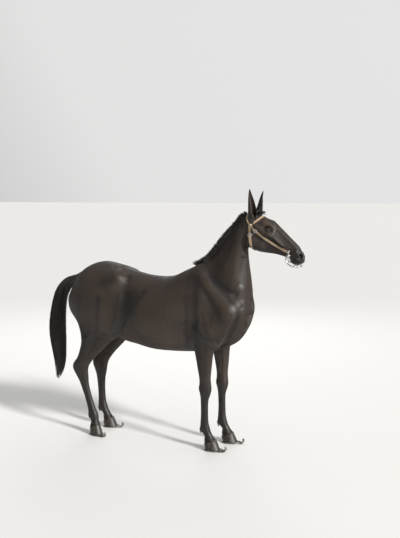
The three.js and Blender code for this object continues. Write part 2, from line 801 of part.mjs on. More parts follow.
// One lock along its path: its broad side faces one way, or its own way at each step.
function lock(path, facing, width, thick) {
  const rings = path.map((p, i) => {
    const along = path[Math.min(i + 1, path.length - 1)].clone().sub(path[Math.max(i - 1, 0)]);
    const t = i / (path.length - 1);
    const taper = Math.sqrt(1 - 0.97 * t * t);
    const face = Array.isArray(facing) ? facing[i] : facing;
    const across = new THREE.Vector3().crossVectors(along, face).normalize();
    const out = new THREE.Vector3().crossVectors(along, across).normalize();
    const w = (width / 2) * taper;
    const h = (thick / 2) * taper;
    return [[w, 0], [0, h], [-w, 0], [0, -h]].map(([a, b]) =>
      p.clone().addScaledVector(across, a).addScaledVector(out, b));
  });
  return skinOver(rings);
}

function bentPath(root, out, tip, sink, steps) {
  const start = root.clone().addScaledVector(out, -sink);
  const bend = root.clone().addScaledVector(out, root.distanceTo(tip) * 0.45);
  const curve = new THREE.QuadraticBezierCurve3(start, bend, tip);
  return curve.getPoints(steps);
}

// The hogged mane: short upright locks in three rows along the crest.
function maneLocks() {
  const crest = curveThrough(neck, "z", "back");
  const locks = [];
  for (let i = 0; i < maneCount; i += 1) {
    const t = i / (maneCount - 1);
    const z = maneFrom + (maneTo - maneFrom) * t;
    const slope = (crest(z + 4) - crest(z - 4)) / 8;
    const up = new THREE.Vector3(-1, 0, slope).normalize();
    const along = new THREE.Vector3(slope, 0, 1).normalize();
    const row = (i % 3) - 1;
    const root = ontoSkin(new THREE.Vector3(crest(z), row * 9, z));
    const swell = Math.sin(Math.PI * Math.min(1, t * 1.2 + 0.12));
    const height = maneHeight * (0.72 + 0.28 * swell) + spread(6);
    const tip = root.clone().addScaledVector(up, height).addScaledVector(along, spread(9) - 8);
    tip.y += row * 7 + spread(3);
    locks.push(lock(bentPath(root, up, tip, 16, 3), new THREE.Vector3(0, 1, 0), 44, 12));
  }
  return locks;
}

// A tuft on the withers and the forelock between the ears, each fanned from a short line of roots.
function tuft(count, rootAt, tipAt, face, width) {
  return Array.from({ length: count }, (_, i) => {
    const t = count === 1 ? 0.5 : i / (count - 1);
    const root = ontoSkin(rootAt(t));
    const tip = tipAt(t, root);
    return lock(bentPath(root, bodyNormal(root), tip, 12, 3), face, width, 9);
  });
}

function withersLocks() {
  return tuft(
    9,
    (t) => new THREE.Vector3(300 + 95 * t, spread(8), 1440 + 20 * t),
    (t, root) => root.clone().add(new THREE.Vector3(-22 + spread(8), spread(12), 30 + spread(6))),
    new THREE.Vector3(0, 1, 0),
    26,
  );
}

function forelockLocks() {
  return tuft(
    11,
    (t) => new THREE.Vector3(818 + spread(10), -24 + 48 * t, 1838),
    (t, root) => root.clone().add(
      new THREE.Vector3(50 + spread(12), (t - 0.5) * 30 + spread(5), 2 + spread(10)),
    ),
    new THREE.Vector3(0, 0, 1),
    20,
  );
}

// The tail's hair from its root to its end: middle line, half depth and half width.
const tailHair = [
  { t: 0, x: -846, z: 1254, deep: 44, wide: 40 },
  { t: 0.1, x: -884, z: 1216, deep: 52, wide: 45 },
  { t: 0.2, x: -924, z: 1156, deep: 58, wide: 50 },
  { t: 0.3, x: -949, z: 1078, deep: 62, wide: 54 },
  { t: 0.4, x: -965, z: 984, deep: 68, wide: 57 },
  { t: 0.5, x: -973, z: 880, deep: 76, wide: 60 },
  { t: 0.6, x: -971, z: 770, deep: 78, wide: 60 },
  { t: 0.7, x: -960, z: 660, deep: 68, wide: 52 },
  { t: 0.8, x: -954, z: 560, deep: 55, wide: 43 },
  { t: 0.9, x: -966, z: 462, deep: 36, wide: 30 },
  { t: 1, x: -988, z: 375, deep: 12, wide: 9 },
];

// Tiers of locks down the dock: where each tier starts and ends, and how many locks it has.
const tailTiers = [
  { from: 0.02, to: 0.56, count: 9 },
  { from: 0.14, to: 0.72, count: 9 },
  { from: 0.26, to: 0.86, count: 8 },
  { from: 0.38, to: 0.97, count: 7 },
];

function tailLocks() {
  const keys = ["x", "z", "deep", "wide"];
  const [x, z, deep, wide] = keys.map((key) => curveThrough(tailHair, "t", key));
  const steps = 6;
  return tailTiers.flatMap((tier, row) => Array.from({ length: tier.count }, (_, i) => {
    const turn = (2 * Math.PI * (i + 0.5 * (row % 2))) / tier.count + spread(0.12);
    const end = Math.min(1, tier.to + spread(0.05));
    const faces = [];
    const path = Array.from({ length: steps + 1 }, (__, k) => {
      const t = tier.from + (end - tier.from) * (k / steps);
      const [a, b] = [t - 0.01, t + 0.01];
      const fall = new THREE.Vector3(x(b) - x(a), 0, z(b) - z(a)).normalize();
      const fore = new THREE.Vector3(-fall.z, 0, fall.x);
      const out = 0.5 + 0.42 * Math.min(1, (3 * k) / steps) - 0.1 * row * (1 - k / steps);
      const swirl = turn + 0.15 * Math.sin((3 * k) / steps + i);
      const outward = new THREE.Vector3(0, Math.sin(swirl), 0);
      faces.push(outward.addScaledVector(fore, Math.cos(swirl)));
      return new THREE.Vector3(x(t), out * wide(t) * Math.sin(swirl), z(t))
        .addScaledVector(fore, out * deep(t) * Math.cos(swirl));
    });
    return lock(path, faces, tailLockWidth, 15);
  }));
}

// Cutters and rims for the eyes, nostrils and mouth, in the head's own frame.
const eyeSpots = [-1, 1].map((side) => ({
  side,
  look: new THREE.Vector3(0.3, side * 0.93, 0.16).normalize(),
  centre: new THREE.Vector3(...headPoint(eyeSeat[0], side * eyeSeat[1], eyeSeat[2])),
}));

// Axes at an eye: x along the opening, z outwards.
function eyeAxes({ look, centre }) {
  const down = THREE.MathUtils.degToRad(headDip + 2);
  const along = new THREE.Vector3(Math.cos(down), 0, -Math.sin(down));
  const up = new THREE.Vector3().crossVectors(look, along).normalize();
  const x = new THREE.Vector3().crossVectors(up, look).normalize();
  return new THREE.Matrix4().makeBasis(x, up, look).setPosition(centre);
}

function almond(halfLong, halfHigh) {
  const shape = new THREE.Shape();
  shape.moveTo(-halfLong, 0);
  shape.quadraticCurveTo(0, 2 * halfHigh, halfLong, 0);
  shape.quadraticCurveTo(0, -2 * halfHigh, -halfLong, 0);
  return shape;
}

function lidOpening(eye) {
  const shape = almond(lidLong - 1, lidHigh - 1);
  const cut = new THREE.ExtrudeGeometry(shape, { depth: 60, bevelEnabled: false, curveSegments: 7 });
  return placed(cut, eyeAxes(eye));
}

function lidRim(eye) {
  const reach = eyeRadius + 5;
  const rim = almond(lidLong, lidHigh).getSpacedPoints(18).slice(0, -1).map((p) =>
    new THREE.Vector3(p.x, p.y, Math.sqrt(reach * reach - p.x * p.x - p.y * p.y)));
  const ring = new THREE.CatmullRomCurve3(rim, true);
  return placed(rodGeometry(ring, 3.4, 16, 5), eyeAxes(eye));
}

function rodGeometry(curve, radius, steps, sides) {
  const section = new THREE.Shape(Array.from({ length: sides }, (_, i) => {
    const turn = (2 * Math.PI * i) / sides;
    return new THREE.Vector2(radius * Math.cos(turn), radius * Math.sin(turn));
  }));
  return new THREE.ExtrudeGeometry(section, { extrudePath: curve, steps, bevelEnabled: false });
}

function nostrilCut(side) {
  const skin = ontoSkin(new THREE.Vector3(...headPoint(508, side * 46, -74)));
  const turn = new THREE.Matrix4().makeRotationFromEuler(
    new THREE.Euler(0, THREE.MathUtils.degToRad(headDip + 38), side * -0.35),
  );
  const hole = new THREE.SphereGeometry(1, 12, 8).scale(19, 12, 8.5);
  return placed(hole, turn.setPosition(skin));
}

// The slit between the lips: a thin curved blade, kept shallow by leaving its core out.
const lipLine = [[428, -121], [448, -114], [478, -115], [508, -113], [532, -110], [570, -104]];

function lipEdge(way) {
  const points = lipLine.map(([u, v], i) => new THREE.Vector2(u, v + way * Math.min(i + 0.4, 2)));
  return new THREE.SplineCurve(points).getPoints(12);
}

function mouthCut() {
  const slit = new THREE.Shape();
  slit.setFromPoints([...lipEdge(1), ...lipEdge(-1).reverse()]);
  const blade = new THREE.ExtrudeGeometry(slit, { depth: 160, bevelEnabled: false });
  blade.rotateX(Math.PI / 2).translate(0, 80, 0);
  const plan = new THREE.Shape();
  plan.setFromPoints([
    [400, -16], [440, -24], [490, -28], [512, -20], [524, -8],
    [524, 8], [512, 20], [490, 28], [440, 24], [400, 16],
  ].map(([u, y]) => new THREE.Vector2(u, y)));
  const core = new THREE.ExtrudeGeometry(plan, { depth: 80, bevelEnabled: false });
  core.translate(0, 0, -150);
  return placed(blade, headPlace).subtract(placed(core, headPlace));
}

// An ear: a leaf rolled into a cup, closed tube at its foot and open towards the front.
function earSolid({ side, foot, tip, facing }, clear = 0) {
  const axis = new THREE.Vector3(...tip).sub(new THREE.Vector3(...foot));
  const length = axis.length();
  axis.normalize();
  const open = new THREE.Vector3(Math.cos(facing), side * Math.sin(facing), 0);
  const across = new THREE.Vector3().crossVectors(axis, open).normalize();
  open.crossVectors(across, axis).normalize();
  const rows = 8;
  const columns = 8;
  const skin = (inset) => Array.from({ length: rows + 1 }, (_, i) => {
    const t = i / rows;
    const radius = earRadius(t) - inset * (1 - 0.55 * t);
    const half = earWrap(t) + clear / 10;
    return Array.from({ length: columns + 1 }, (__, j) => {
      const turn = half * (1 - (2 * j) / columns);
      const lean = 10 * Math.sin(Math.PI * t);
      return new THREE.Vector3(...foot)
        .addScaledVector(axis, length * t + 2 * clear * (2 * t - 1))
        .addScaledVector(open, lean - radius * Math.cos(turn) + Math.max(inset, 0) * 0.25)
        .addScaledVector(across, radius * Math.sin(turn));
    });
  });
  const outer = skin(-clear);
  const inner = skin(earThick + clear);
  return skinOver(outer.map((row, i) => [...row, ...inner[i].reverse()]));
}

// Half of the ear's width, and how far its leaf wraps round from the back, against height.
const earShape = [
  { t: 0, radius: 27, wrap: 165 },
  { t: 0.15, radius: 32, wrap: 150 },
  { t: 0.35, radius: 33, wrap: 122 },
  { t: 0.6, radius: 27, wrap: 100 },
  { t: 0.8, radius: 19, wrap: 84 },
  { t: 0.93, radius: 10, wrap: 74 },
  { t: 1, radius: 4, wrap: 66 },
];
const earRadius = curveThrough(earShape, "t", "radius");
const earWrapDegrees = curveThrough(earShape, "t", "wrap");
const earWrap = (t) => THREE.MathUtils.degToRad(earWrapDegrees(t));

// A strap laid on the skin through points given in the head's frame.
function strap(points, width, thick, clear = 0) {
  const guide = new THREE.CatmullRomCurve3(
    points.map((p) => ontoSkin(new THREE.Vector3(...headPoint(...p)))), false, "centripetal",
  );
  const steps = Math.max(6, Math.round(guide.getLength() / 26));
  const centre = guide.getSpacedPoints(steps).map(ontoSkin);
  if (clear) {
    centre[0].addScaledVector(centre[0].clone().sub(centre[1]).normalize(), clear);
    centre[steps].addScaledVector(centre[steps].clone().sub(centre[steps - 1]).normalize(), clear);
  }
  const rings = centre.map((p, i) => {
    const along = centre[Math.min(i + 1, steps)].clone().sub(centre[Math.max(i - 1, 0)]);
    const out = bodyNormal(p);
    const across = new THREE.Vector3().crossVectors(out, along).normalize();
    const w = width / 2 + clear;
    const corners = [[w, -8], [w, thick + clear], [-w, thick + clear], [-w, -8]];
    return corners.map(([a, b]) => p.clone().addScaledVector(across, a).addScaledVector(out, b));
  });
  return skinOver(rings);
}

// The bridle's straps in the head's frame, each cut clear of the ones laid before it.
const mirrored = (half) => [...half.map(([u, y, v]) => [u, -y, v]).reverse().slice(0, -1), ...half];
const cheekLine = [
  [52, 80, -72], [118, 86, -92], [195, 78, -104], [275, 60, -105], [345, 50, -107], [408, 46, -114],
];
const strapLines = {
  crown_strap: mirrored([[-32, 0, -6], [-22, 40, -24], [10, 66, -52], [46, 79, -70]]),
  cheek_strap_right: cheekLine.map(([u, y, v]) => [u, -y, v]),
  cheek_strap_left: cheekLine,
  browband: mirrored([[90, 0, 32], [84, 40, 22], [74, 68, -14], [60, 78, -58]]),
  throat_strap: mirrored([
    [160, 0, -240], [152, 44, -228], [122, 74, -182], [82, 84, -128], [34, 76, -84],
  ]),
};

function bridleStraps(clear) {
  const laid = [];
  return Object.fromEntries(Object.entries(strapLines).map(([name, line]) => {
    let solid = strap(line, strapWidth, strapThick).subtract(clear);
    for (const other of laid) solid = solid.subtract(strap(other, strapWidth, strapThick, partingGap));
    laid.push(line);
    return [name, largest(solid)];
  }));
}

// The curb bit: an S-shaped cheek on each side with its rings, and the chain behind the chin.
function bitCheek(side) {
  const corner = new THREE.Vector3(...headPoint(425, side * 52, -117));
  const bend = [[2, 26], [0, 0], [-15, -24], [-6, -50], [18, -70], [44, -78], [60, -66]];
  const curve = new THREE.CatmullRomCurve3(bend.map(([x, z], i) =>
    new THREE.Vector3(corner.x + x, corner.y + side * (2 + i), corner.z + z)));
  const shank = solidOf(rodGeometry(curve, 4.5, 14, 6));
  const boss = new THREE.CylinderGeometry(13, 15, 7, 10);
  const ring = new THREE.TorusGeometry(11, 2.6, 5, 10).rotateX(Math.PI / 2);
  const end = curve.getPoint(1);
  return joined([
    shank,
    placed(boss, new THREE.Matrix4().setPosition(corner.x, corner.y + side * 2, corner.z)),
    placed(ring, new THREE.Matrix4().setPosition(end.x + 6, end.y, end.z - 8)),
  ]);
}

function curbChain() {
  const corner = headPoint(425, 52, -117);
  const drop = new THREE.CatmullRomCurve3([
    new THREE.Vector3(corner[0] - 4, -(corner[1] - 9), corner[2] - 22),
    new THREE.Vector3(corner[0] - 2, -30, corner[2] - 42),
    new THREE.Vector3(corner[0] + 2, 0, corner[2] - 50),
    new THREE.Vector3(corner[0] - 2, 30, corner[2] - 42),
    new THREE.Vector3(corner[0] - 4, corner[1] - 9, corner[2] - 22),
  ]);
  const count = 7;
  return joined(Array.from({ length: count }, (_, i) => {
    const t = (i + 0.5) / count;
    const along = drop.getTangent(t);
    const turn = new THREE.Matrix4().lookAt(along, new THREE.Vector3(), new THREE.Vector3(1, 0, 0));
    const twist = new THREE.Matrix4().makeRotationZ((i % 2) * Math.PI / 2 + Math.PI / 4);
    const link = new THREE.TorusGeometry(8, 2.6, 4, 6).rotateY(Math.PI / 2).scale(1, 1, 1.25);
    return placed(link, turn.multiply(twist).setPosition(drop.getPoint(t)));
  }));
}

// Hooves and shoes, each in a frame with its toe towards +X and the ground at z = 0.
const coronetTilt = 0.42;
const coronetHeight = 68;
const coronetBack = -22;

function hoofSolid(size) {
  const sides = 16;
  const levels = [0, 0.35, 0.7, 0.92, 1];
  const flare = [0, 0, 0, 1.8, 0];
  const rings = levels.map((f, k) => Array.from({ length: sides }, (_, i) => {
    const turn = (2 * Math.PI * i) / sides;
    const c = Math.cos(turn);
    const s = Math.sin(turn);
    const ground = new THREE.Vector3(c > 0 ? 64 * c : 56 * c, 52 * s * (1 - 0.12 * c * c * c), 0);
    const top = new THREE.Vector3(coronetBack + 49 * c, 43 * s, coronetHeight + coronetTilt * 49 * c);
    ground.z = shoeThick + partingGap;
    const p = ground.lerp(top, f);
    p.x += flare[k] * c;
    p.y += flare[k] * s;
    return new THREE.Vector3(p.x * size, p.y * size, p.z);
  }));
  return skinOver(rings);
}

// A shoe: a flat iron plate open at the heels whose long toe curls up.
function shoeSolid(size) {
  const flat = [[-60, 70], [-44, 94], [-20, 106], [8, 108], [34, 98], [58, 76], [76, 56], [94, 46]];
  const curl = [0.35, 0.8, 1.3, 1.85, 2.4];
  const rings = flat.map(([x, wide]) => plateRing(x * size, 0, 0, wide * size, shoeThick));
  for (const turn of curl) {
    const x = flat[flat.length - 1][0] * size + toeCurl * Math.sin(turn);
    const z = toeCurl * (1 - Math.cos(turn));
    rings.push(plateRing(x, z, turn, 46 - 9 * turn, shoeThick * (1 - 0.16 * turn)));
  }
  const gap = new THREE.Shape();
  gap.moveTo(-90, -20);
  gap.lineTo(0, -14);
  gap.absarc(0, 0, 14, -Math.PI / 2, Math.PI / 2, false);
  gap.lineTo(-90, 20);
  const opening = new THREE.ExtrudeGeometry(gap, { depth: 40, bevelEnabled: false, curveSegments: 6 });
  opening.translate(0, 0, -15);
  return skinOver(rings).subtract(solidOf(opening));
}

// The four corners of the plate where its underside passes (x, z), turned up by an angle.
function plateRing(x, z, turn, wide, thick) {
  const top = [x - thick * Math.sin(turn), z + thick * Math.cos(turn)];
  return [
    new THREE.Vector3(x, wide / 2, z),
    new THREE.Vector3(top[0], wide / 2, top[1]),
    new THREE.Vector3(top[0], -wide / 2, top[1]),
    new THREE.Vector3(x, -wide / 2, z),
  ];
}

function hoofPlace(limb) {
  const foot = limb.axis[limb.axis.length - 1];
  const turn = limb.side * THREE.MathUtils.degToRad(limb.toeOut);
  return new THREE.Matrix4().makeRotationZ(turn).setPosition(foot.x + 3, limb.side * foot.y, 0);
}

// Everything below the coronet, cut off the leg so that the hoof has its own place.
function underCoronet(limb) {
  const block = new THREE.BoxGeometry(400, 300, 300);
  const tilt = new THREE.Matrix4().makeRotationY(-Math.atan(coronetTilt));
  const drop = new THREE.Matrix4().makeTranslation(0, 0, -150 + 2 * partingGap);
  const at = new THREE.Matrix4().makeTranslation(coronetBack, 0, coronetHeight);
  return placed(block, hoofPlace(limb).multiply(at).multiply(tilt).multiply(drop));
}

// Parting the body: each cut lies where that part begins on the animal.
const headCut = partingSlab([762, 0, 1740], [1, 0, 0.054], [0, 1, 0], 170, 205);
const neckCut = partingSlab([595, 0, 1316], [0.66, 0, 0.76], [0, 1, 0], 330, 330);
const tailCut = partingSlab([-833, 0, 1246], [-0.85, 0, -0.53], [0, 1, 0], 70, 52);

function foreCut(side) {
  const run = [0, side * 0.66, 0.75];
  const middle = [445, side * 150, 807];
  return partingSlab(middle, [0, side * -0.75, 0.66], run, 125, 190);
}

function hindCut(side) {
  const slopeX = -0.45;
  const slopeY = 0.9;
  const middle = [-530, side * 160, 790 + slopeY * 110 + slopeX * -30];
  return partingSlab(middle, [-slopeX, side * -slopeY, 1], [1, 0, slopeX], 290, 152);
}

// How closely each region keeps its shape as the mesh is made coarser.
function keepShape(x, y, z) {
  if (x > 720 && z > 1380) return 8;
  if (x < -830 || z > 1440) return 2;
  return z < 620 ? 3 : 0.3;
}

const smoothBody = solidOf(geometryOf(wholeBody));
const haired = largest(joined([
  smoothBody, ...maneLocks(), ...withersLocks(), ...forelockLocks(), ...tailLocks(),
]));
const body = simplify(meshOf(haired), bodyTriangles, keepShape);
const bodySolid = solidOf(geometryOf(body));
const skinClear = solidOf(geometryOf(grown(body, partingGap + 0.05)));
const earsClear = joined(ears.map((ear) => earSolid(ear, earGap)));
const slabs = [headCut, neckCut, tailCut, ...[-1, 1].flatMap((side) => [foreCut(side), hindCut(side)])];
const pieces = bodySolid.subtract(joined(slabs)).decompose().filter((p) => p.volume() > 1e5);

const pieceAt = (x, y, z) => pieces.find((piece) => {
  const probe = new THREE.BoxGeometry(4, 4, 4).translate(x, y, z);
  return piece.intersect(solidOf(probe)).volume() > 1;
});

const solids = {
  torso: pieceAt(0, 0, 1000),
  neck: pieceAt(650, 0, 1520),
  tail: pieceAt(-930, 0, 1000),
};

const headBare = joined([pieceAt(950, 0, 1650), ...eyeSpots.map(lidRim)]);
const headCutters = [
  earsClear.subtract(smoothBody),
  ...eyeSpots.map((eye) => solidOf(new THREE.SphereGeometry(eyeRadius + partingGap + 0.5, 12, 9)
    .translate(eye.centre.x, eye.centre.y, eye.centre.z))),
  ...eyeSpots.map(lidOpening),
  nostrilCut(-1),
  nostrilCut(1),
  mouthCut(),
];
solids.head = largest(headBare.subtract(joined(headCutters)));

for (const eye of eyeSpots) {
  solids[eye.side < 0 ? "eye_right" : "eye_left"] = solidOf(
    new THREE.SphereGeometry(eyeRadius, 12, 9).translate(eye.centre.x, eye.centre.y, eye.centre.z),
  );
}

for (const ear of ears) {
  solids[ear.side < 0 ? "ear_right" : "ear_left"] = largest(earSolid(ear).subtract(skinClear));
}

for (const [name, limb] of Object.entries(stance)) {
  const where = hoofPlace(limb);
  const leg = pieceAt(limb.axis.at(-4).x, limb.side * limb.axis.at(-4).y, limb.axis.at(-4).z);
  solids[name] = largest(leg.subtract(underCoronet(limb)));
  const size = name.startsWith("fore") ? 1 : 0.95;
  solids[name.replace("leg", "_hoof")] = hoofSolid(size).transform(where.elements);
  solids[name.replace("leg", "_shoe")] = shoeSolid(size).transform(where.elements);
}

for (const side of [-1, 1]) {
  solids[side < 0 ? "bit_cheek_right" : "bit_cheek_left"] = largest(bitCheek(side).subtract(skinClear));
}

const clearOf = (clearance, ...names) => joined(names.map((name) =>
  solidOf(geometryOf(grown(meshOf(solids[name]), clearance)))));
const bitClear = clearOf(0.5, "bit_cheek_right", "bit_cheek_left");
solids.curb_chain = largest(curbChain().subtract(joined([skinClear, bitClear])));
const strapsClear = joined([skinClear, bitClear, earsClear]);
Object.assign(solids, bridleStraps(strapsClear));

const finishes = {
  coat: { color: 0x2a211b, roughness: 0.72, metalness: 0 },
  tail: { color: 0x17120f, roughness: 0.6, metalness: 0 },
  eye: { color: 0x1a0f08, roughness: 0.08, metalness: 0 },
  hoof: { color: 0x3b342c, roughness: 0.55, metalness: 0 },
  shoe: { color: 0x4c4b49, roughness: 0.6, metalness: 0.8 },
  strap: { color: 0xb79a6d, roughness: 0.6, metalness: 0 },
  bit: { color: 0x9a9a97, roughness: 0.35, metalness: 1 },
};

function finishOf(name) {
  if (name.includes("strap") || name === "browband") return finishes.strap;
  if (name.startsWith("bit") || name.startsWith("curb")) return finishes.bit;
  return finishes[Object.keys(finishes).find((key) => name.includes(key)) ?? "coat"];
}

const mule = new THREE.Group();
for (const [name, solid] of Object.entries(solids)) {
  const { vertProperties, triVerts } = solid.getMesh();
  const geometry = new THREE.BufferGeometry();
  geometry.setAttribute("position", new THREE.BufferAttribute(vertProperties, 3));
  geometry.setIndex(new THREE.BufferAttribute(triVerts, 1));
  geometry.computeVertexNormals();
  const mesh = new THREE.Mesh(geometry, new THREE.MeshStandardMaterial(finishOf(name)));
  mesh.name = name;
  mule.add(mesh);
}

// The origin is on the ground, under the middle of the whole animal's box.
const box = new THREE.Box3().setFromObject(mule);
mule.position.set(-(box.min.x + box.max.x) / 2, -(box.min.y + box.max.y) / 2, -box.min.z);

export default mule;
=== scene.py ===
# %% [markdown]
# # A bridled riding mule
#
# A life-size model of a dark riding mule, as a museum would show it: standing square, its head up,
# with a hogged mane, a full tail, a light bridle with a curb bit, and four long curled shoes.
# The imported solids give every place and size. Here the animal gets one smooth skin, a short coat
# of small tufts, locks of long hair, wet eyes, horn, leather and iron.

import bpy
import numpy as np
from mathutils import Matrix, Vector


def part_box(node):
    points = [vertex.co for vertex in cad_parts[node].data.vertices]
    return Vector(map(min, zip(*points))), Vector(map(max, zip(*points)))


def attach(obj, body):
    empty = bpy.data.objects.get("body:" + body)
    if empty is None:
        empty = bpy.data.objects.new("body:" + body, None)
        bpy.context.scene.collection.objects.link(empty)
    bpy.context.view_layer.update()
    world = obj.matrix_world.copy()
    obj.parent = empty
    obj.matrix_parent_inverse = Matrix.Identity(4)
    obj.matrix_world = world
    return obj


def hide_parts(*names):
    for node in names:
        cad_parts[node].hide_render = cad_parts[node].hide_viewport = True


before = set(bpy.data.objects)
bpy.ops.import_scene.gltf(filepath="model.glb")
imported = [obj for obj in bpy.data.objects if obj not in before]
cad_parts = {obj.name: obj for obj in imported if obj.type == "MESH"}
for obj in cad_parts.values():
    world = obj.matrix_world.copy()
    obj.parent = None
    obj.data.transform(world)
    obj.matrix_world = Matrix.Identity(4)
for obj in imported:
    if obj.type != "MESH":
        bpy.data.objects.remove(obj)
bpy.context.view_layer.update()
random = np.random.default_rng(30)

# %% [markdown]
# ## Where things are
#
# The anatomy is written in millimetres, in the animal's own frame: x towards the head, y to its left,
# z up from the ground. The head has a frame of its own that follows the skull, so that a nostril or
# a strap can be placed along the face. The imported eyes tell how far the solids' frame is moved.

# %% Frames of the body and of the head
MM = 0.001
POLL = np.array([795.0, 0.0, 1840.0])
HEAD_SCALE = 525 / 542  # the head's length in life over its length in the tables
HEAD_DIP = np.radians(31)
EYE_SEAT = np.array([189.0, 65.0, -25.0])
EYE_RADIUS = 21.0
COAT_DEPTH = 2.5
HEAD_AXES = np.array([
    [np.cos(HEAD_DIP), 0, -np.sin(HEAD_DIP)],
    [0, 1, 0],
    [np.sin(HEAD_DIP), 0, np.cos(HEAD_DIP)],
])


def head_points(places):
    """Points (along the skull, sideways, up from the face line) turned and moved into the body's frame."""
    return POLL + HEAD_SCALE * (np.asarray(places, float) @ HEAD_AXES)


def side_by_side(*values):
    """Arrays or numbers as the coordinates of points."""
    return np.stack(np.broadcast_arrays(*values), axis=-1)


def unit(vectors):
    """The same directions with length one."""
    return vectors / (np.linalg.norm(vectors, axis=-1, keepdims=True) + 1e-9)


def into_head(points):
    """The head's own coordinates of points in the body's frame."""
    return (points - POLL) @ HEAD_AXES.T / HEAD_SCALE


eye_corners = [np.array(corner) for name in ("eye_right", "eye_left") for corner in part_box(name)]
SHIFT = np.mean(eye_corners, axis=0) / MM - head_points([EYE_SEAT * [1, 0, 1]])[0]
print("solids' frame from the body's frame, mm:", SHIFT.round(2))

# %% [markdown]
# ## The camera
#
# The picture is seen from the animal's right, a little ahead of square, from a little above eye
# height, with a long lens. The camera looks slightly down and needs no shift.

# %% Camera at the picture's angle
CAMERA_PLACE = np.array([2750.0, -5530.0, 1973.0])
CAMERA_TURN = np.radians(23.39)
CAMERA_PITCH = np.radians(5.41)
LENS = 51.6

camera_data = bpy.data.cameras.new("camera")
camera_data.lens = LENS
camera = bpy.data.objects.new("camera", camera_data)
camera.location = (CAMERA_PLACE + SHIFT) * MM
camera.rotation_euler = (np.pi / 2 - CAMERA_PITCH, 0, CAMERA_TURN)
bpy.context.scene.collection.objects.link(camera)
bpy.context.scene.camera = camera
print("camera at", [round(value, 3) for value in camera.location], "lens", LENS)

# %% [markdown]
# ## Curves through stations
#
# A real animal's outline is smooth, so each outline is given by a few stations and a cubic curve runs
# through them. Half widths, back line and belly line all use the same kind of curve. Bells and steps
# fade one form, length or tone into another.

# %% Smooth curves, bells and steps


def through(at, value):
    """Cubic pieces through the stations, whose slope at a station is the slope between its neighbours."""
    at, value = np.asarray(at, float), np.asarray(value, float)
    if at[0] > at[-1]:
        at, value = at[::-1], value[::-1]
    before = np.r_[0, np.arange(len(at) - 1)]
    after = np.r_[np.arange(1, len(at)), len(at) - 1]
    slope = (value[after] - value[before]) / (at[after] - at[before])

    def curve(t):
        t = np.clip(t, at[0], at[-1])
        i = np.clip(np.searchsorted(at, t, side="right") - 1, 0, len(at) - 2)
        span = at[i + 1] - at[i]
        f = (t - at[i]) / span
        g = 1 - f
        ends = value[i] * (1 + 2 * f) * g * g + value[i + 1] * (3 - 2 * f) * f * f
        return ends + span * (slope[i] * f * g * g - slope[i + 1] * f * f * g)

    return curve


def columns(rows):
    """Curves of every later column of a table against its first one."""
    table = np.array(rows, float)
    return [through(table[:, 0], table[:, k]) for k in range(1, table.shape[1])]


def bell(value, middle, width):
    """One at the middle, falling off smoothly to nothing about two widths away."""
    return np.exp(-((value - middle) / width) ** 2)


def step_up(value, start, end):
    """Nothing before the start, one after the end, and a smooth rise between them."""
    t = np.clip((value - start) / (end - start), 0, 1)
    return t * t * (3 - 2 * t)


# %% [markdown]
# ## The body as distances
#
# The flesh is described by how far any point is from it. Each part gives a distance: egg-shaped
# sections along the trunk, neck, head and legs, and tapered bars for single muscles. A smooth minimum
# joins them with fillets, as skin does over muscle. The solids come from the same stations.

# %% Stations of the body, in millimetres
TRUNK = [  # x, back line, belly line, half width
    (-792, 1190, 1110, 40), (-775, 1262, 1035, 98), (-725, 1322, 965, 150), (-620, 1402, 880, 205),
    (-490, 1440, 830, 232), (-340, 1414, 806, 234), (-180, 1364, 772, 240), (-20, 1338, 742, 262),
    (140, 1346, 738, 256), (270, 1404, 742, 226), (370, 1440, 750, 196), (480, 1420, 760, 184),
    (600, 1350, 800, 168), (700, 1270, 870, 142), (765, 1190, 975, 96), (792, 1120, 1065, 36),
]
NECK = [  # z, crest, throat line, half width
    (1000, 530, 690, 60), (1080, 470, 770, 120), (1200, 440, 792, 128), (1320, 400, 784, 120),
    (1420, 392, 772, 104), (1490, 458, 764, 90), (1560, 520, 758, 78), (1640, 578, 764, 71),
    (1720, 640, 790, 66), (1790, 712, 810, 56), (1832, 772, 815, 34),
]
SKULL = [  # along the skull, face line, underside, half width
    (-48, -62, -96, 16), (-25, -18, -124, 46), (15, 6, -140, 64), (70, 26, -148, 78),
    (130, 36, -146, 84), (185, 34, -140, 80), (245, 22, -130, 64), (325, 4, -118, 50),
    (400, -13, -112, 44), (455, -26, -110, 44), (500, -44, -114, 45), (530, -68, -116, 34),
    (542, -88, -106, 12),
]
JAW = [  # the same columns
    (30, -110, -150, 22), (50, -96, -192, 44), (90, -90, -224, 54), (140, -88, -236, 56),
    (200, -86, -226, 52), (260, -84, -200, 44), (330, -82, -168, 36), (400, -84, -148, 32),
    (445, -92, -142, 31), (478, -100, -152, 33), (508, -108, -146, 29), (524, -118, -134, 12),
]
FORELEG = [  # z, reach forward, reach back, half width
    (1010, 96, 108, 60), (900, 92, 108, 62), (820, 80, 96, 60), (740, 68, 76, 54), (650, 58, 60, 46),
    (570, 49, 48, 40), (525, 50, 48, 41), (482, 53, 54, 45), (440, 45, 44, 38), (395, 31, 38, 27),
    (300, 28, 35, 24), (220, 31, 38, 26), (165, 38, 46, 33), (138, 35, 45, 32), (108, 34, 38, 32),
    (80, 44, 52, 40), (40, 50, 62, 43),
]
HINDLEG = [  # the same columns
    (1260, 150, 190, 60), (1130, 200, 232, 84), (980, 196, 196, 86), (870, 168, 172, 74),
    (780, 128, 134, 58), (700, 92, 108, 46), (640, 70, 92, 37), (585, 62, 94, 36), (545, 62, 84, 38),
    (490, 56, 60, 37), (430, 40, 46, 29), (330, 32, 38, 25), (230, 33, 40, 26), (170, 40, 48, 33),
    (140, 37, 46, 32), (108, 34, 38, 32), (80, 42, 50, 39), (40, 47, 59, 41),
]
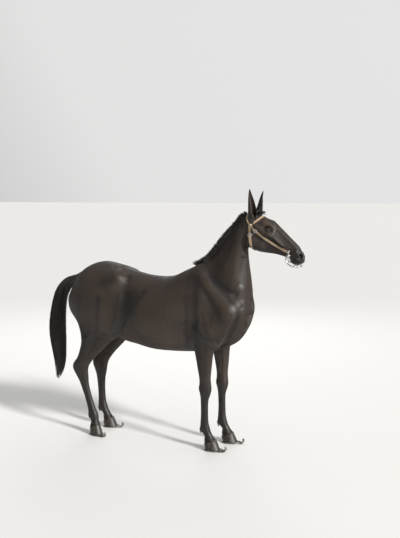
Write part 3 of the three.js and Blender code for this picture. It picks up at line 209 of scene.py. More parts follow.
LIMBS = {  # side, outline, size of the foot, how far the toe turns out, and the axis: z, x, distance out
    "fore_right": (-1, FORELEG, 1.0, 4, [
        (1010, 490, 138), (820, 462, 142), (650, 456, 136), (482, 456, 126), (300, 452, 121),
        (165, 456, 118), (108, 486, 118), (40, 512, 118)]),
    "fore_left": (1, FORELEG, 1.0, 3, [
        (1010, 500, 138), (820, 485, 142), (650, 492, 136), (482, 498, 126), (300, 502, 121),
        (165, 508, 118), (108, 540, 118), (40, 566, 118)]),
    "hind_right": (-1, HINDLEG, 0.95, 24, [
        (1260, -500, 130), (1130, -522, 148), (980, -496, 150), (870, -486, 146), (780, -518, 138),
        (700, -566, 131), (640, -608, 126), (545, -664, 120), (430, -640, 118), (300, -598, 118),
        (165, -552, 120), (108, -536, 127), (40, -524, 132)]),
    "hind_left": (1, HINDLEG, 0.95, 9, [
        (1260, -500, 130), (1130, -520, 148), (980, -490, 150), (870, -474, 146), (780, -496, 138),
        (700, -534, 131), (640, -568, 126), (545, -616, 120), (430, -616, 118), (300, -611, 117),
        (165, -598, 117), (108, -562, 117), (40, -532, 117)]),
}
DOCK = [  # the tail's flesh: x, z, radius
    (-700, 1290, 52), (-800, 1268, 40), (-868, 1210, 35), (-912, 1110, 31), (-934, 1000, 26), (-944, 900, 16),
]
FOOT_AHEAD = 3  # the foot's middle is this far ahead of the end of its limb's axis

# %% Distances and how they are joined
END_ROUND = 24.0  # radius of the trunk's rounded ends
FAR = 1000.0  # the distance where no form is near


def egg(a, b, half_a, half_b, narrow):
    """Distance to an egg-shaped section: the reach less the reach scaled by the ellipse, narrower on top."""
    width = half_a * (1 - narrow * np.clip(b / half_b, -1, 1))
    reach = np.sqrt(a * a + b * b) + 1e-6
    scaled = np.sqrt((a / width) ** 2 + (b / half_b) ** 2) + 1e-6
    return reach - reach / scaled


def ended(side, past):
    """A section's distance, rounded off beyond the last station."""
    return np.where(past > 0, np.sqrt(np.maximum(side, 0) ** 2 + past ** 2), side)


def smooth_union(a, b, blend):
    """The smaller of two distances, lowered where they are alike, which makes a fillet."""
    near = np.maximum(blend - np.abs(a - b), 0) / blend
    return np.minimum(a, b) - near * near * blend / 4


# %% Forms: each gives its box, the width of its fillet, and its distance


def trunk_form():
    """The trunk stops at its end stations, where its edge is rounded."""
    top, bottom, half = columns(TRUNK)
    first, last = TRUNK[0][0], TRUNK[-1][0]

    def distance(x, y, z):
        t = np.clip(x, first, last)
        high, middle = (top(t) - bottom(t)) / 2, (top(t) + bottom(t)) / 2
        side = egg(y, z - middle, half(t), high, 0.16)
        past = np.maximum(first - x, x - last)
        corner = np.hypot(np.maximum(side + END_ROUND, 0), np.maximum(past + END_ROUND, 0))
        return np.where(past > -END_ROUND, corner - END_ROUND, side)

    return (first - 60, -360, 640), (last + 60, 360, 1540), 60, distance


def column_form(rows, axis_x, axis_y, narrow, blend, reach):
    """The neck or a limb: an egg-shaped section at each height, round an axis that bends."""
    front, back, half = columns(rows)
    heights = np.array([row[0] for row in rows], float)
    first, last = heights.min(), heights.max()
    aside = reach + half(heights).max()
    low = ((axis_x(heights) - back(heights)).min() - reach, axis_y(heights).min() - aside, first - 10)
    high = ((axis_x(heights) + front(heights)).max() + reach, axis_y(heights).max() + aside, last + reach)

    def distance(x, y, z):
        t = np.clip(z, first, last)
        deep = (front(t) + back(t)) / 2
        middle = axis_x(t) + (front(t) - back(t)) / 2
        return ended(egg(y - axis_y(t), middle - x, half(t), deep, narrow), np.abs(z - t))

    return low, high, blend, distance


def head_form(rows, narrow):
    """The skull or the jaw: egg-shaped sections along the head, in its own coordinates."""
    top, bottom, half = columns(rows)
    first, last = rows[0][0], rows[-1][0]

    def distance(x, y, z):
        u = ((x - POLL[0]) * HEAD_AXES[0, 0] + (z - POLL[2]) * HEAD_AXES[0, 2]) / HEAD_SCALE
        v = ((x - POLL[0]) * HEAD_AXES[2, 0] + (z - POLL[2]) * HEAD_AXES[2, 2]) / HEAD_SCALE
        t = np.clip(u, first, last)
        high, middle = (top(t) - bottom(t)) / 2, (top(t) + bottom(t)) / 2
        side = egg(y / HEAD_SCALE, v - middle, half(t), high, narrow)
        return HEAD_SCALE * ended(side, np.abs(u - t))

    return (640, -170, 1340), (1300, 170, 1930), 40, distance


def bar(start, end, radius_start, radius_end, blend):
    """A bar between two points whose radius changes evenly: distance to its axis less the radius there."""
    a, b = np.asarray(start, float), np.asarray(end, float)
    run = b - a
    grow = max(radius_start, radius_end) + blend

    def distance(x, y, z):
        f = np.clip(((x - a[0]) * run[0] + (y - a[1]) * run[1] + (z - a[2]) * run[2]) / (run @ run), 0, 1)
        away = (x - a[0] - f * run[0]) ** 2 + (y - a[1] - f * run[1]) ** 2 + (z - a[2] - f * run[2]) ** 2
        return np.sqrt(away) - radius_start - f * (radius_end - radius_start)

    return tuple(np.minimum(a, b) - grow), tuple(np.maximum(a, b) + grow), blend, distance


def both_sides(start, end, radius_start, radius_end, blend):
    """The muscle on each side, or the one on the midline."""
    sides = (1,) if start[1] == 0 and end[1] == 0 else (-1, 1)
    return [bar(np.multiply(start, (1, s, 1)), np.multiply(end, (1, s, 1)), radius_start, radius_end, blend)
            for s in sides]


def head_muscle(start, end, radius_start, radius_end, blend):
    """A muscle or bone whose ends are given in the head's own coordinates."""
    a, b = head_points([start, end])
    return both_sides(a, b, radius_start * HEAD_SCALE, radius_end * HEAD_SCALE, blend)


# %% The muscles and bones that shape the surface
BODY_MUSCLES = [  # from, to, radius at each end, width of the fillet
    ((405, 58, 1335), (640, 104, 1105), 78, 84, 70),
    ((655, 108, 1090), (520, 128, 925), 80, 76, 60),
    ((400, 104, 1180), (470, 132, 935), 82, 72, 70),
    ((700, 58, 1120), (615, 66, 905), 72, 64, 50),
    ((-345, 94, 1282), (-545, 104, 1290), 84, 96, 90),
    ((-300, 150, 1306), (-326, 150, 1280), 38, 46, 90),
    ((-590, 96, 1240), (-676, 88, 1060), 96, 80, 80),
    ((-352, 142, 960), (-374, 148, 880), 66, 52, 70),
    ((-300, 118, 960), (-200, 120, 900), 60, 60, 80),
]
HEAD_MUSCLES = [  # the same columns, in the head's coordinates
    ((88, 40, -120), (112, 36, -176), 40, 44, 34),
    ((112, 36, -176), (186, 36, -168), 46, 34, 34),
    ((130, 60, -4), (196, 66, 0), 20, 17, 26),
    ((189, 65, -25), (191, 65, -25), 28, 28, 16),
    ((215, 72, -56), (345, 44, -76), 13, 9, 24),
    ((92, 80, -62), (200, 74, -56), 12, 14, 26),
    ((180, 0, 12), (440, 0, -44), 26, 22, 34),
    ((462, 32, -62), (504, 31, -72), 20, 20, 20),
    ((500, 17, -98), (520, 13, -100), 26, 22, 16),
    ((440, 30, -102), (490, 24, -104), 14, 16, 14),
    ((470, 8, -134), (502, 6, -132), 24, 20, 14),
]

# %% All the forms together


def limb_axis(name):
    """Where a limb's axis runs, as two curves of height: x, and y with its side's sign."""
    side, _, _, _, axis = LIMBS[name]
    axis_x, axis_out = columns(axis)
    return axis_x, lambda z: side * axis_out(z)


forms = [trunk_form()]
neck_rows = [(z, front, -back, half) for z, back, front, half in NECK]
forms.append(column_form(neck_rows, lambda z: 0 * z, lambda z: 0 * z, narrow=0.3, blend=90, reach=110))
for limb_name, (side, outline, _, _, _) in LIMBS.items():
    forms.append(column_form(outline, *limb_axis(limb_name), narrow=0.12, blend=55, reach=70))
for muscle in BODY_MUSCLES:
    forms += both_sides(*muscle)
for i, ((x0, z0, r0), (x1, z1, r1)) in enumerate(zip(DOCK, DOCK[1:])):
    forms += both_sides((x0, 0, z0), (x1, 0, z1), r0, r1, blend=50 if i == 0 else 12)
forms += [head_form(SKULL, narrow=0.12), head_form(JAW, narrow=-0.05)]
for muscle in HEAD_MUSCLES:
    forms += head_muscle(*muscle)
print(len(forms), "forms make the body")

# %% [markdown]
# ## Hollows
#
# The nostrils are comma-shaped pits and the lids leave an almond opening. They are carved out of the
# distances with the same smooth step. Below each coronet the flesh stops inside the hoof.

# %% What is carved out of the flesh
EYES = {}
for side, name in ((-1, "eye_right"), (1, "eye_left")):
    look = unit(np.array([0.3, side * 0.93, 0.16]))
    dip = HEAD_DIP + np.radians(2)
    up = unit(np.cross(look, [np.cos(dip), 0, -np.sin(dip)])) * -side
    EYES[name] = {
        "side": side, "centre": head_points([EYE_SEAT * [1, side, 1]])[0],
        "axes": np.array([np.cross(up, look) * -side, up, look]),
    }
NOSTRIL = [  # along the skull, out from the middle, up from the face line, radius
    (490, 47, -50, 4.5), (504, 45, -57, 10), (515, 40, -70, 13), (514, 41, -85, 9.5), (503, 44, -95, 4.5),
]
NOSTRIL_DEPTH = [(514, 38, -71, 11.5), (505, 29, -69, 11), (494, 22, -67, 8)]
CORONET_HEIGHT, CORONET_TILT, CORONET_BACK = 68, 0.42, -22


def eye_hollow(eye):
    """A short tube with an elliptic section round the line of sight, from the eyeball's middle outwards."""
    centre, axes = eye["centre"], eye["axes"]

    def distance(x, y, z):
        rel = (x - centre[0], y - centre[1], z - centre[2])
        a, b, c = (sum(axes[k][m] * rel[m] for m in range(3)) for k in range(3))
        rim = (np.sqrt((a / 22.5) ** 2 + (b / 18.0) ** 2) - 1) * 18
        return np.maximum(rim, -c)

    return tuple(centre - 60), tuple(centre + 60), 4, distance


def under_coronet(name):
    """Everything more than a few millimetres below the coronet's sloping plane."""
    side, _, _, toe_out, axis = LIMBS[name]
    foot = np.array([axis[-1][1] + FOOT_AHEAD, side * axis[-1][2]])
    turn = side * np.radians(toe_out)
    ahead = np.array([np.cos(turn), np.sin(turn)])
    slope = np.hypot(1, CORONET_TILT)

    def distance(x, y, z):
        along = (x - foot[0]) * ahead[0] + (y - foot[1]) * ahead[1]
        return (z - CORONET_HEIGHT - CORONET_TILT * (along - CORONET_BACK)) / slope + 5

    low = (foot[0] - 150, foot[1] - 90, -40)
    return low, (foot[0] + 150, foot[1] + 90, 150), 3, distance


hollows = [eye_hollow(eye) for eye in EYES.values()] + [under_coronet(name) for name in LIMBS]
for side in (-1, 1):
    for row in (NOSTRIL, NOSTRIL_DEPTH):
        ends = head_points([(u, side * y, v) for u, y, v, _ in row])
        for i in range(len(row) - 1):
            hollows.append(bar(ends[i], ends[i + 1], row[i][3], row[i + 1][3], 6))
PARTS = ((forms, False), (hollows, True))
print(len(hollows), "hollows")

# %% The distance of the whole body


def body_distance(points, groups=PARTS):
    """The joined distance at each point, first of the forms and then less the hollows. Each is worked
    out only inside its own box."""
    value = np.full(len(points), FAR)
    for group, carve in groups:
        for low, high, blend, distance in group:
            inside = np.flatnonzero(np.all((points >= low) & (points <= high), axis=1))
            if not len(inside):
                continue
            x, y, z = points[inside].T
            here = distance(x, y, z)
            old = value[inside]
            value[inside] = -smooth_union(-old, here, blend) if carve else smooth_union(old, here, blend)
    return value + COAT_DEPTH


def body_normal(points, step=1.5):
    """The direction in which the distance grows fastest, from differences on either side."""
    slope = np.stack([
        body_distance(points + step * axis) - body_distance(points - step * axis) for axis in np.eye(3)
    ], axis=1)
    return unit(slope)


def onto_skin(points, height=0.0, rounds=6):
    """The points moved along the normals until they lie at a height above the skin."""
    points = np.array(points, float)
    for _ in range(rounds):
        points -= body_normal(points) * (0.85 * (body_distance(points) - height))[:, None]
    return points


# %% [markdown]
# ## One skin over the whole animal
#
# The skin is the surface where the distance is zero. The space is filled with a grid that is fine at
# the head and coarse at the barrel. Each grid cell that the surface passes through gets one vertex,
# at the mean of the places where its edges cross the surface, and each crossed edge gets one face
# between its four cells. All of it is whole-array arithmetic. Then the vertices are drawn exactly
# onto the surface.

# %% The grid and its values


def grid_lines(*spans):
    """Places from the start of the first span to the end of the last, each span with its own step."""
    return np.concatenate([np.arange(a, b, step) for a, b, step in spans])


LINES = (
    grid_lines((-1000, 760, 10.6), (760, 1090, 4.6), (1090, 1300, 3.1)),
    grid_lines((-330, -100, 9.6), (-100, 100.1, 4.2), (104, 330, 9.6)),
    grid_lines((-25, 620, 9.4), (620, 1440, 10.6), (1440, 1500, 6.4), (1500, 1610, 3.1), (1610, 1935, 4.6)),
)


def sample_grid():
    """The joined distance at every grid point, form by form inside its own block of the grid."""
    values = np.full([len(line) for line in LINES], FAR, np.float32)
    for group, carve in PARTS:
        for low, high, blend, distance in group:
            block = tuple(slice(*np.searchsorted(line, (a, b))) for line, a, b in zip(LINES, low, high))
            shape = ((-1, 1, 1), (1, -1, 1), (1, 1, -1))
            x, y, z = (line[part].reshape(form) for line, part, form in zip(LINES, block, shape))
            here, old = distance(x, y, z), values[block]
            values[block] = -smooth_union(-old, here, blend) if carve else smooth_union(old, here, blend)
    return values + COAT_DEPTH


# %% From the grid to a surface


def surface_net(values):
    """Vertices in the mixed cells and a face round each crossed grid edge."""
    inside = values < 0
    size = np.array(values.shape)
    corners = [(i, j, k) for i in (0, 1) for j in (0, 1) for k in (0, 1)]

    def shifted(array, corner):
        return array[tuple(slice(c, n - 1 + c) for c, n in zip(corner, size))]

    count = sum(shifted(inside, corner).astype(np.int8) for corner in corners)
    cells = np.argwhere((count > 0) & (count < 8))
    number = np.full(size - 1, -1, np.int64)
    number[tuple(cells.T)] = np.arange(len(cells))
    total, crossings = np.zeros((len(cells), 3)), np.zeros(len(cells))
    for corner in corners:
        for axis in range(3):
            if corner[axis]:
                continue
            start, end = cells + corner, cells + corner + np.eye(3, dtype=int)[axis]
            a, b = values[tuple(start.T)], values[tuple(end.T)]
            crossed = (a < 0) != (b < 0)
            share = np.where(crossed, a / np.where(crossed, a - b, 1), 0)
            for k in range(3):
                at = LINES[k][start[:, k]] + share * (LINES[k][end[:, k]] - LINES[k][start[:, k]])
                total[:, k] += np.where(crossed, at, 0)
            crossings += crossed
    vertices = total / crossings[:, None]
    faces = []
    for axis in range(3):
        p, q = (axis + 1) % 3, (axis + 2) % 3
        low = tuple(slice(0 if k == axis else 1, size[k] - 1) for k in range(3))
        high = tuple(slice(1, None) if k == axis else slice(1, size[k] - 1) for k in range(3))
        edges = np.argwhere(inside[low] != inside[high]) + [0 if k == axis else 1 for k in range(3)]
        around = []
        for da, db in ((0, 0), (1, 0), (1, 1), (0, 1)):
            cell = edges.copy()
            cell[:, p] -= da
            cell[:, q] -= db
            around.append(number[tuple(cell.T)])
        quads = np.stack(around, axis=1)
        outward = inside[tuple(edges.T)]
        faces.append(np.where(outward[:, None], quads, quads[:, ::-1]))
    return vertices, np.concatenate(faces)


skin_vertices, skin_faces = surface_net(sample_grid())
for _ in range(2):
    normals = body_normal(skin_vertices)
    skin_vertices = skin_vertices - normals * (0.9 * body_distance(skin_vertices))[:, None]
print("skin:", len(skin_vertices), "vertices,", len(skin_faces), "faces")

# %% [markdown]
# ## Veins, wrinkles and the line of the mouth
#
# Fine forms are too small for the grid, so they are added as a relief: each is a line on the surface
# with a width and a height, and every vertex moves along its normal by a bell-shaped share of it.

# %% Relief along lines
LIP_LINE = [(424, 46, -120), (440, 46, -116), (458, 45.5, -114.5), (478, 45, -115), (500, 43, -115),
            (518, 37, -113), (532, 26, -111), (541, 12, -109), (543, 0, -108)]
LIP_HEIGHT = 8
RIB_COUNT = 9
DEEPEST = 15.0  # where many grooves meet they go no deeper than this


def lip(rise):
    """The line of the mouth, moved up the face or down."""
    return [(u, y, v + rise) for u, y, v in LIP_LINE]


HEAD_LINES = [  # width, height above the skin (negative cuts in), and the line: along, out, up
    (2.4, -6.0, LIP_LINE), (5.0, 1.8, lip(LIP_HEIGHT)[2:]), (5.0, 1.5, lip(-LIP_HEIGHT)[1:]),
    (4.5, 1.6, [(258, 62, -150), (300, 52, -128), (345, 48, -100), (392, 46, -84), (440, 44, -72)]),
    (3.5, 1.2, [(345, 48, -100), (372, 46, -66), (398, 40, -42)]),
    (3.0, 1.0, [(300, 52, -128), (330, 46, -140), (372, 38, -142)]),
    (3.0, -1.6, [(164, 74, 8), (182, 80, 12), (202, 78, 5)]),
    (2.6, -1.3, [(158, 74, 2), (178, 84, 4), (206, 80, -2)]),
    (3.0, -1.6, [(166, 82, -54), (186, 84, -60), (208, 78, -56)]),
    (16, -5.0, [(92, 50, 18), (112, 56, 15), (128, 60, 10)]),
    (7.0, 2.0, [(214, 74, -52), (262, 62, -62), (305, 54, -70), (345, 46, -78)]),
    (12, -3.0, [(232, 66, -80), (290, 56, -88), (345, 48, -98)]),
    (12, -3.0, [(250, 48, -4), (330, 41, -26), (410, 36, -46)]),
    (6.0, -2.4, [(60, 78, -110), (74, 76, -160), (96, 70, -206)]),
    (6.0, 2.0, [(120, 78, -200), (170, 72, -190), (215, 62, -172)]),
    (3.0, -1.4, [(470, 44, -84), (480, 45, -96), (474, 44, -108)]),
    (3.0, -1.4, [(452, 44, -90), (462, 45, -100), (458, 44, -110)]),
    (5.5, 3.0, [(486, 47, -46), (500, 46, -44), (514, 41, -50), (526, 33, -64), (527, 32, -82),
                (518, 37, -96), (504, 42, -103)]),
    (4.0, -2.2, [(474, 46, -48), (478, 47, -70), (488, 46, -92)]),
    (3.0, -1.6, [(462, 24, -140), (486, 26, -134), (506, 20, -124)]),
    (10, -4.0, [(440, 30, -142), (447, 14, -152), (449, 0, -153)]),
]
BODY_LINES = [  # the same, in the body's frame
    (24, -6.6, [(742, 52, 1500), (736, 66, 1400), (730, 80, 1310)]),
    (21, 2.4, [(700, 62, 1600), (690, 76, 1480), (680, 92, 1360), (664, 104, 1260)]),
    (32, -3.3, [(640, 70, 1690), (600, 90, 1560), (540, 112, 1420)]),
    (30, -8.5, [(480, 118, 1385), (517, 120, 1350), (594, 137, 1287), (655, 135, 1251), (690, 130, 1235)]),
    (35, 2.8, [(482, 151, 1300), (555, 170, 1227), (637, 191, 1150), (696, 190, 1073)]),
    (27, -6.0, [(520, 140, 1330), (600, 150, 1255), (680, 165, 1170), (730, 160, 1090)]),
    (30, -5.5, [(440, 165, 1290), (500, 185, 1200), (565, 200, 1110), (600, 205, 1040)]),
    (32, -7.5, [(386, 141, 1331), (393, 197, 1183), (397, 204, 1046), (384, 201, 985)]),
    (24, -8.0, [(384, 201, 985), (425, 212, 925), (480, 215, 885), (535, 208, 868), (580, 190, 862)]),
    (24, -3.3, [(470, 210, 1080), (490, 215, 1000), (505, 214, 930)]),
    (22, -8.5, [(725, 155, 1040), (707, 149, 1008), (658, 140, 923), (600, 110, 850), (567, 75, 804)]),
    (20, -6.5, [(757, 125, 1140), (737, 157, 1076), (671, 147, 956), (626, 122, 886)]),
    (20, -5.5, [(792, 0, 1180), (786, 0, 1080), (740, 0, 960)]),
    (28, -13.0, [(-203, 200, 1190), (-198, 228, 1108), (-214, 234, 990), (-262, 214, 912), (-322, 186, 845)]),
    (55, -9.0, [(-165, 205, 1170), (-160, 230, 1080)]),
    (30, -6.5, [(-440, 232, 1150), (-455, 232, 1030), (-480, 215, 900), (-540, 190, 820)]),
    (24, -5.0, [(-600, 185, 1200), (-625, 175, 1080), (-620, 165, 960), (-610, 160, 860)]),
    (21, -3.9, [(-300, 200, 880), (-345, 205, 850), (-400, 200, 860)]),
    (35, -3.3, [(-330, 190, 1290), (-440, 190, 1270), (-560, 160, 1235)]),
    (30, -3.3, [(-40, 235, 1250), (-100, 240, 1150), (-130, 235, 1040), (-100, 225, 930)]),
    (27, -5.0, [(330, 190, 800), (320, 215, 900), (330, 225, 980)]),
    (14, 2.2, [(230, 205, 850), (60, 215, 835), (-90, 200, 840)]),
]
LEG_LINES = {  # width, height, from and to which z, and how far towards the back edge, -1, or front, 1
    "fore": [(7, -3.6, 190, 420, -0.3), (10, -3.0, 440, 540, 0.35), (10, -3.2, 440, 540, -0.35),
             (14, -3.6, 600, 850, 0.25), (13, -3.4, 600, 820, -0.45), (7, -2.0, 130, 175, 0.1)],
    "hind": [(7, -3.6, 190, 430, -0.25), (13, -5.0, 470, 590, -0.3), (10, -3.0, 480, 560, 0.35),
             (17, -6.0, 620, 820, -0.55), (16, -3.4, 640, 820, 0.3), (7, -2.0, 130, 175, 0.1)],
}

# %% The lines laid on the skin


def rib_lines():
    """The ribs that show a little behind the elbow: slanting arcs side by side."""
    t = np.linspace(0, 1, 7)
    starts = np.linspace(250, -60, RIB_COUNT)
    return [(14, 0.7, side_by_side(x - 70 * t, 230, 1210 - 330 * t)) for x in starts]


def leg_lines():
    """Grooves on both faces of each leg, placed between its back and front edges."""
    lines = []
    for name, (_, outline, _, _, _) in LIMBS.items():
        axis_x, axis_y = limb_axis(name)
        front, back, half = columns(outline)
        for width, height, low, high, place in LEG_LINES[name.split("_")[0]]:
            z = np.linspace(low, high, 7)
            reach = front(z) if place > 0 else back(z)
            for face in (-1, 1):
                y = axis_y(z) + face * half(z) * np.sqrt(1 - place * place)
                lines.append((width, height, side_by_side(axis_x(z) + place * reach, y, z)))
    return lines


def line_distance(points, line):
    """Distance from each point to the nearest stretch of a line."""
    nearest = np.full(len(points), 1e9)
    for a, b in zip(line, line[1:]):
        run = b - a
        f = np.clip((points - a) @ run / (run @ run), 0, 1)
        nearest = np.minimum(nearest, np.linalg.norm(points - a - f[:, None] * run, axis=1))
    return nearest


placed = [(w, h, head_points(line)) for w, h, line in HEAD_LINES] + rib_lines()
placed += [(w, h, np.array(line, float)) for w, h, line in BODY_LINES]
RELIEF = [(w, h, onto_skin(line * [1, side, 1], rounds=4))
          for w, h, line in placed for side in ((-1, 1) if np.abs(line[:, 1]).max() > 0 else (1,))]
RELIEF += [(w, h, onto_skin(line, rounds=4)) for w, h, line in leg_lines()]

# %% The skin with its relief


def relief(points):
    """The height of all lines together at each point: each one's height times a bell of its distance.
    Where many grooves meet, the depth is held back smoothly."""
    total = np.zeros(len(points))
    for width, height, line in RELIEF:
        reach = 3 * width
        boxed = (points >= line.min(0) - reach) & (points <= line.max(0) + reach)
        near = np.flatnonzero(np.all(boxed, axis=1))
        total[near] += height * bell(line_distance(points[near], line), 0, width)
    return np.maximum(total, 0) - DEEPEST * np.tanh(np.maximum(-total, 0) / DEEPEST)


def vertex_normals(vertices, triangles):
    """The mean direction of the triangles round each vertex, weighted by their areas."""
    a, b, c = (vertices[triangles[:, k]] for k in range(3))
    face = np.cross(b - a, c - a)
    total = np.stack([
        np.bincount(triangles.ravel(), np.repeat(face[:, k], 3), len(vertices)) for k in range(3)
    ], axis=1)
    return unit(total)


def triangles_of(faces):
    """Each four-sided face as two triangles."""
    return np.concatenate([faces[:, [0, 1, 2]], faces[:, [0, 2, 3]]])


skin_vertices = skin_vertices + body_normal(skin_vertices) * relief(skin_vertices)[:, None]
skin_triangles = triangles_of(skin_faces)
skin_normals = vertex_normals(skin_vertices, skin_triangles)
print(len(RELIEF), "lines of relief")

# %% [markdown]
# ## Putting arrays into meshes
#
# Every piece goes into Blender the same way: an array of vertices, an array of faces, and per-corner
# or per-vertex values for the materials. Places are written into the mesh in metres, so each object
# stays at the origin.

# %% From arrays to an object


def mesh_piece(name, vertices, faces, smooth=True):
    """An object at the origin whose mesh has these vertices, in body millimetres, and these faces."""
    mesh = bpy.data.meshes.new(name)
    sides = faces.shape[1]
    mesh.vertices.add(len(vertices))
    mesh.vertices.foreach_set("co", ((vertices + SHIFT) * MM).astype(np.float32).ravel())
    mesh.loops.add(faces.size)
    mesh.loops.foreach_set("vertex_index", faces.astype(np.int32).ravel())
    mesh.polygons.add(len(faces))
    mesh.polygons.foreach_set("loop_start", np.arange(0, faces.size, sides, dtype=np.int32))
    mesh.polygons.foreach_set("use_smooth", np.full(len(faces), smooth))
    mesh.update(calc_edges=True)
    mesh.validate(clean_customdata=False)
    piece = bpy.data.objects.new(name, mesh)
    bpy.context.scene.collection.objects.link(piece)
    return piece


def add_value(piece, name, values):
    """A number for each vertex, which a material reads by name."""
    layer = piece.data.attributes.new(name, "FLOAT", "POINT")
    layer.data.foreach_set("value", np.asarray(values, np.float32))


def add_uv(piece, name, places):
    """A UV map from one place for each vertex, or for each corner."""
    loops = np.empty(len(piece.data.loops), np.int32)
    piece.data.loops.foreach_get("vertex_index", loops)
    layer = piece.data.uv_layers.new(name=name)
    corners = places if len(places) == len(loops) else places[loops]
    layer.data.foreach_set("uv", corners.astype(np.float32).ravel())


def finish_piece(piece, material, slot, *nodes):
    """Gives a piece its material and its body, and hides the solids that it stands for. The slot is not used.
    """
    piece.data.materials.append(material)
    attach(piece, "root")
    if nodes:
        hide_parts(*nodes)
    piece.data.calc_loop_triangles()
    print(piece.name, len(piece.data.loop_triangles), "triangles")
    return piece


def whole_piece(name, mesh, material, slot, *nodes):
    """A finished object from a pair of arrays, for pieces without a map of their own."""
    return finish_piece(mesh_piece(name, *mesh), material, slot, *nodes)


# %% [markdown]
# ## Regions and markings
#
# The lie of the coat, the length of its hair and its tone change over the body. Each point belongs to
# a region, found with the same cuts that part the solids. The tone runs from 0, black, to 1, the warm
# brown of the lightest hair: dark on the muzzle, crest and lower legs, lighter on the flank, the inside
# of the legs, and in a ring round each eye. It also holds painted shade, darker in the grooves, in the
# hollows between the large muscles and inside the nostrils, and painted highlights, a little lighter
# on raised lines and along the shoulder, triceps, hip and front of the thigh.

# %% Which region a point belongs to
TRUNK_, NECK_, HEAD_, TAIL_ = 0, 1, 2, 7
LEG_NUMBERS = {"fore_right": 3, "fore_left": 4, "hind_right": 5, "hind_left": 6}
PART_LENGTH = np.array([1620, 900, 640, 1200, 1200, 1200, 1200, 1000])  # by region, in millimetres
PART_GIRTH = np.array([1500, 640, 440, 260, 260, 260, 260, 240])
HEAD_ABOVE, TAIL_BEHIND = 1400, -815


def cuts(points):
    """How far each point is past the four cuts: into the neck, the head, a foreleg and a hind leg."""
    x, y, z = points.T
    out = np.abs(y)
    neck = (x - 595) * 0.66 + (z - 1316) * 0.76
    head = x - 762 + 0.054 * (z - 1740)
    fore = -0.66 * (z - 807) + 0.75 * (out - 150)
    hind = 0.9 * (out - 160) - 0.45 * (x + 530) - (z - 902)
    return neck, head, fore, hind


def regions(points):
    """A number for each point: trunk, neck, head, one of the legs, or the tail."""
    x, y, z = points.T
    neck, head, fore, hind = cuts(points)
    found = np.full(len(points), TRUNK_)
    found[neck > 0] = NECK_
    found[(head > 0) & (z > HEAD_ABOVE)] = HEAD_
    legs = {"fore": (fore > 0) & (x > 250) & (z < 960), "hind": (hind > 0) & (x < -180) & (z < 1100)}
    for name, number in LEG_NUMBERS.items():
        end, side = name.split("_")
        found[legs[end] & ((y < 0) == (side == "right"))] = number
    found[x < TAIL_BEHIND] = TAIL_
    return found


# %% Flat maps of the skin


def round_part(points, region):
    """Millimetres along each point's own part, and its turn round that part as a share from 0 to 1."""
    x, y, z = points.T
    head = into_head(points)
    top, bottom, _ = columns(TRUNK)
    crest, throat, _ = columns(NECK)
    along, a, b = np.zeros((3, len(points)))
    rows = {TRUNK_: (x + 800, y, z - (top(x) + bottom(x)) / 2),
            NECK_: (z - 1000, y, x - (crest(z) + throat(z)) / 2),
            HEAD_: (head[:, 0] + 60, y, head[:, 2] + 90),
            TAIL_: (1330 - z, y, x + 930)}
    for name, number in LEG_NUMBERS.items():
        axis_x, axis_y = limb_axis(name)
        rows[number] = (z, y - axis_y(z), x - axis_x(z))
    for number, (run, side, out) in rows.items():
        here = region == number
        along[here], a[here], b[here] = run[here], side[here], out[here]
    return along, np.arctan2(a, b) / (2 * np.pi) + 0.5


def unwrap(points, region):
    """A place for each point on a flat map: eight cells, one for each part, in two rows."""
    along, turn = round_part(points, region)
    length = PART_LENGTH[region]
    cell = side_by_side(region % 4, region // 4) / [4, 2]
    return cell + side_by_side(np.clip(along / length, 0, 1), turn) * [0.235, 0.47] + 0.007


def grain_places(vertices, faces):
    """For each corner of each face, metres along its part by metres round it, with no jump inside a face."""
    middle = vertices[faces].mean(axis=1)
    region = regions(middle)
    _, middle_turn = round_part(middle, region)
    corners = vertices[faces.ravel()]
    along, turn = round_part(corners, np.repeat(region, faces.shape[1]))
    turn -= np.round(turn - np.repeat(middle_turn, faces.shape[1]))
    girth = np.repeat(PART_GIRTH[region], faces.shape[1])
    return side_by_side(along, turn * girth) * MM


# %% The tone of the coat


def nostril_distance(points):
    """How far each point is from the middle of the nearer nostril."""
    lines = [head_points([(a, side * b, c) for a, b, c, _ in NOSTRIL]) for side in (-1, 1)]
    return np.minimum(*[line_distance(points, line) for line in lines])


def part_shares(points):
    """How much each point belongs to the neck, to the head and to a leg, with soft borders."""
    x, _, z = points.T
    neck, head, fore, hind = cuts(points)
    fore = step_up(fore, -90, 60) * step_up(x, 230, 330) * (z < 1060)
    hind = step_up(hind, -120, 90) * step_up(-x, 160, 260) * (z < 1250)
    return step_up(neck, -110, 70), step_up(head, -40, 40) * (z > HEAD_ABOVE), np.maximum(fore, hind)


# Painted shade along the flank fold, the flank hollow, behind the elbow and in the groove between neck and
# shoulder; painted highlights along the front of the thigh, the shoulder ridge, the triceps and the hip.
PAINTED_SHADE_AND_HIGHLIGHT = [  # how much darker or lighter the coat is along a line, and how wide, alike on both sides
    (-0.22, 60, [(-196, 225, 1130), (-198, 228, 1100), (-214, 234, 990), (-266, 214, 912)]),
    (-0.12, 75, [(-165, 205, 1170), (-190, 237, 1061)]),
    (-0.16, 38, [(384, 201, 995), (433, 212, 919), (523, 208, 878)]),
    (-0.16, 45, [(330, 225, 980), (325, 200, 820)]),
    (-0.16, 32, [(500, 118, 1360), (594, 137, 1287), (655, 135, 1251)]),
    (0.06, 75, [(-330, 227, 1160), (-357, 236, 1027), (-378, 224, 901)]),
    (0.05, 45, [(482, 151, 1300), (555, 170, 1227), (637, 191, 1150), (696, 190, 1073)]),
    (0.05, 60, [(470, 205, 1060), (540, 210, 980)]),
    (0.05, 60, [(-500, 170, 1250), (-420, 200, 1230)]),
]


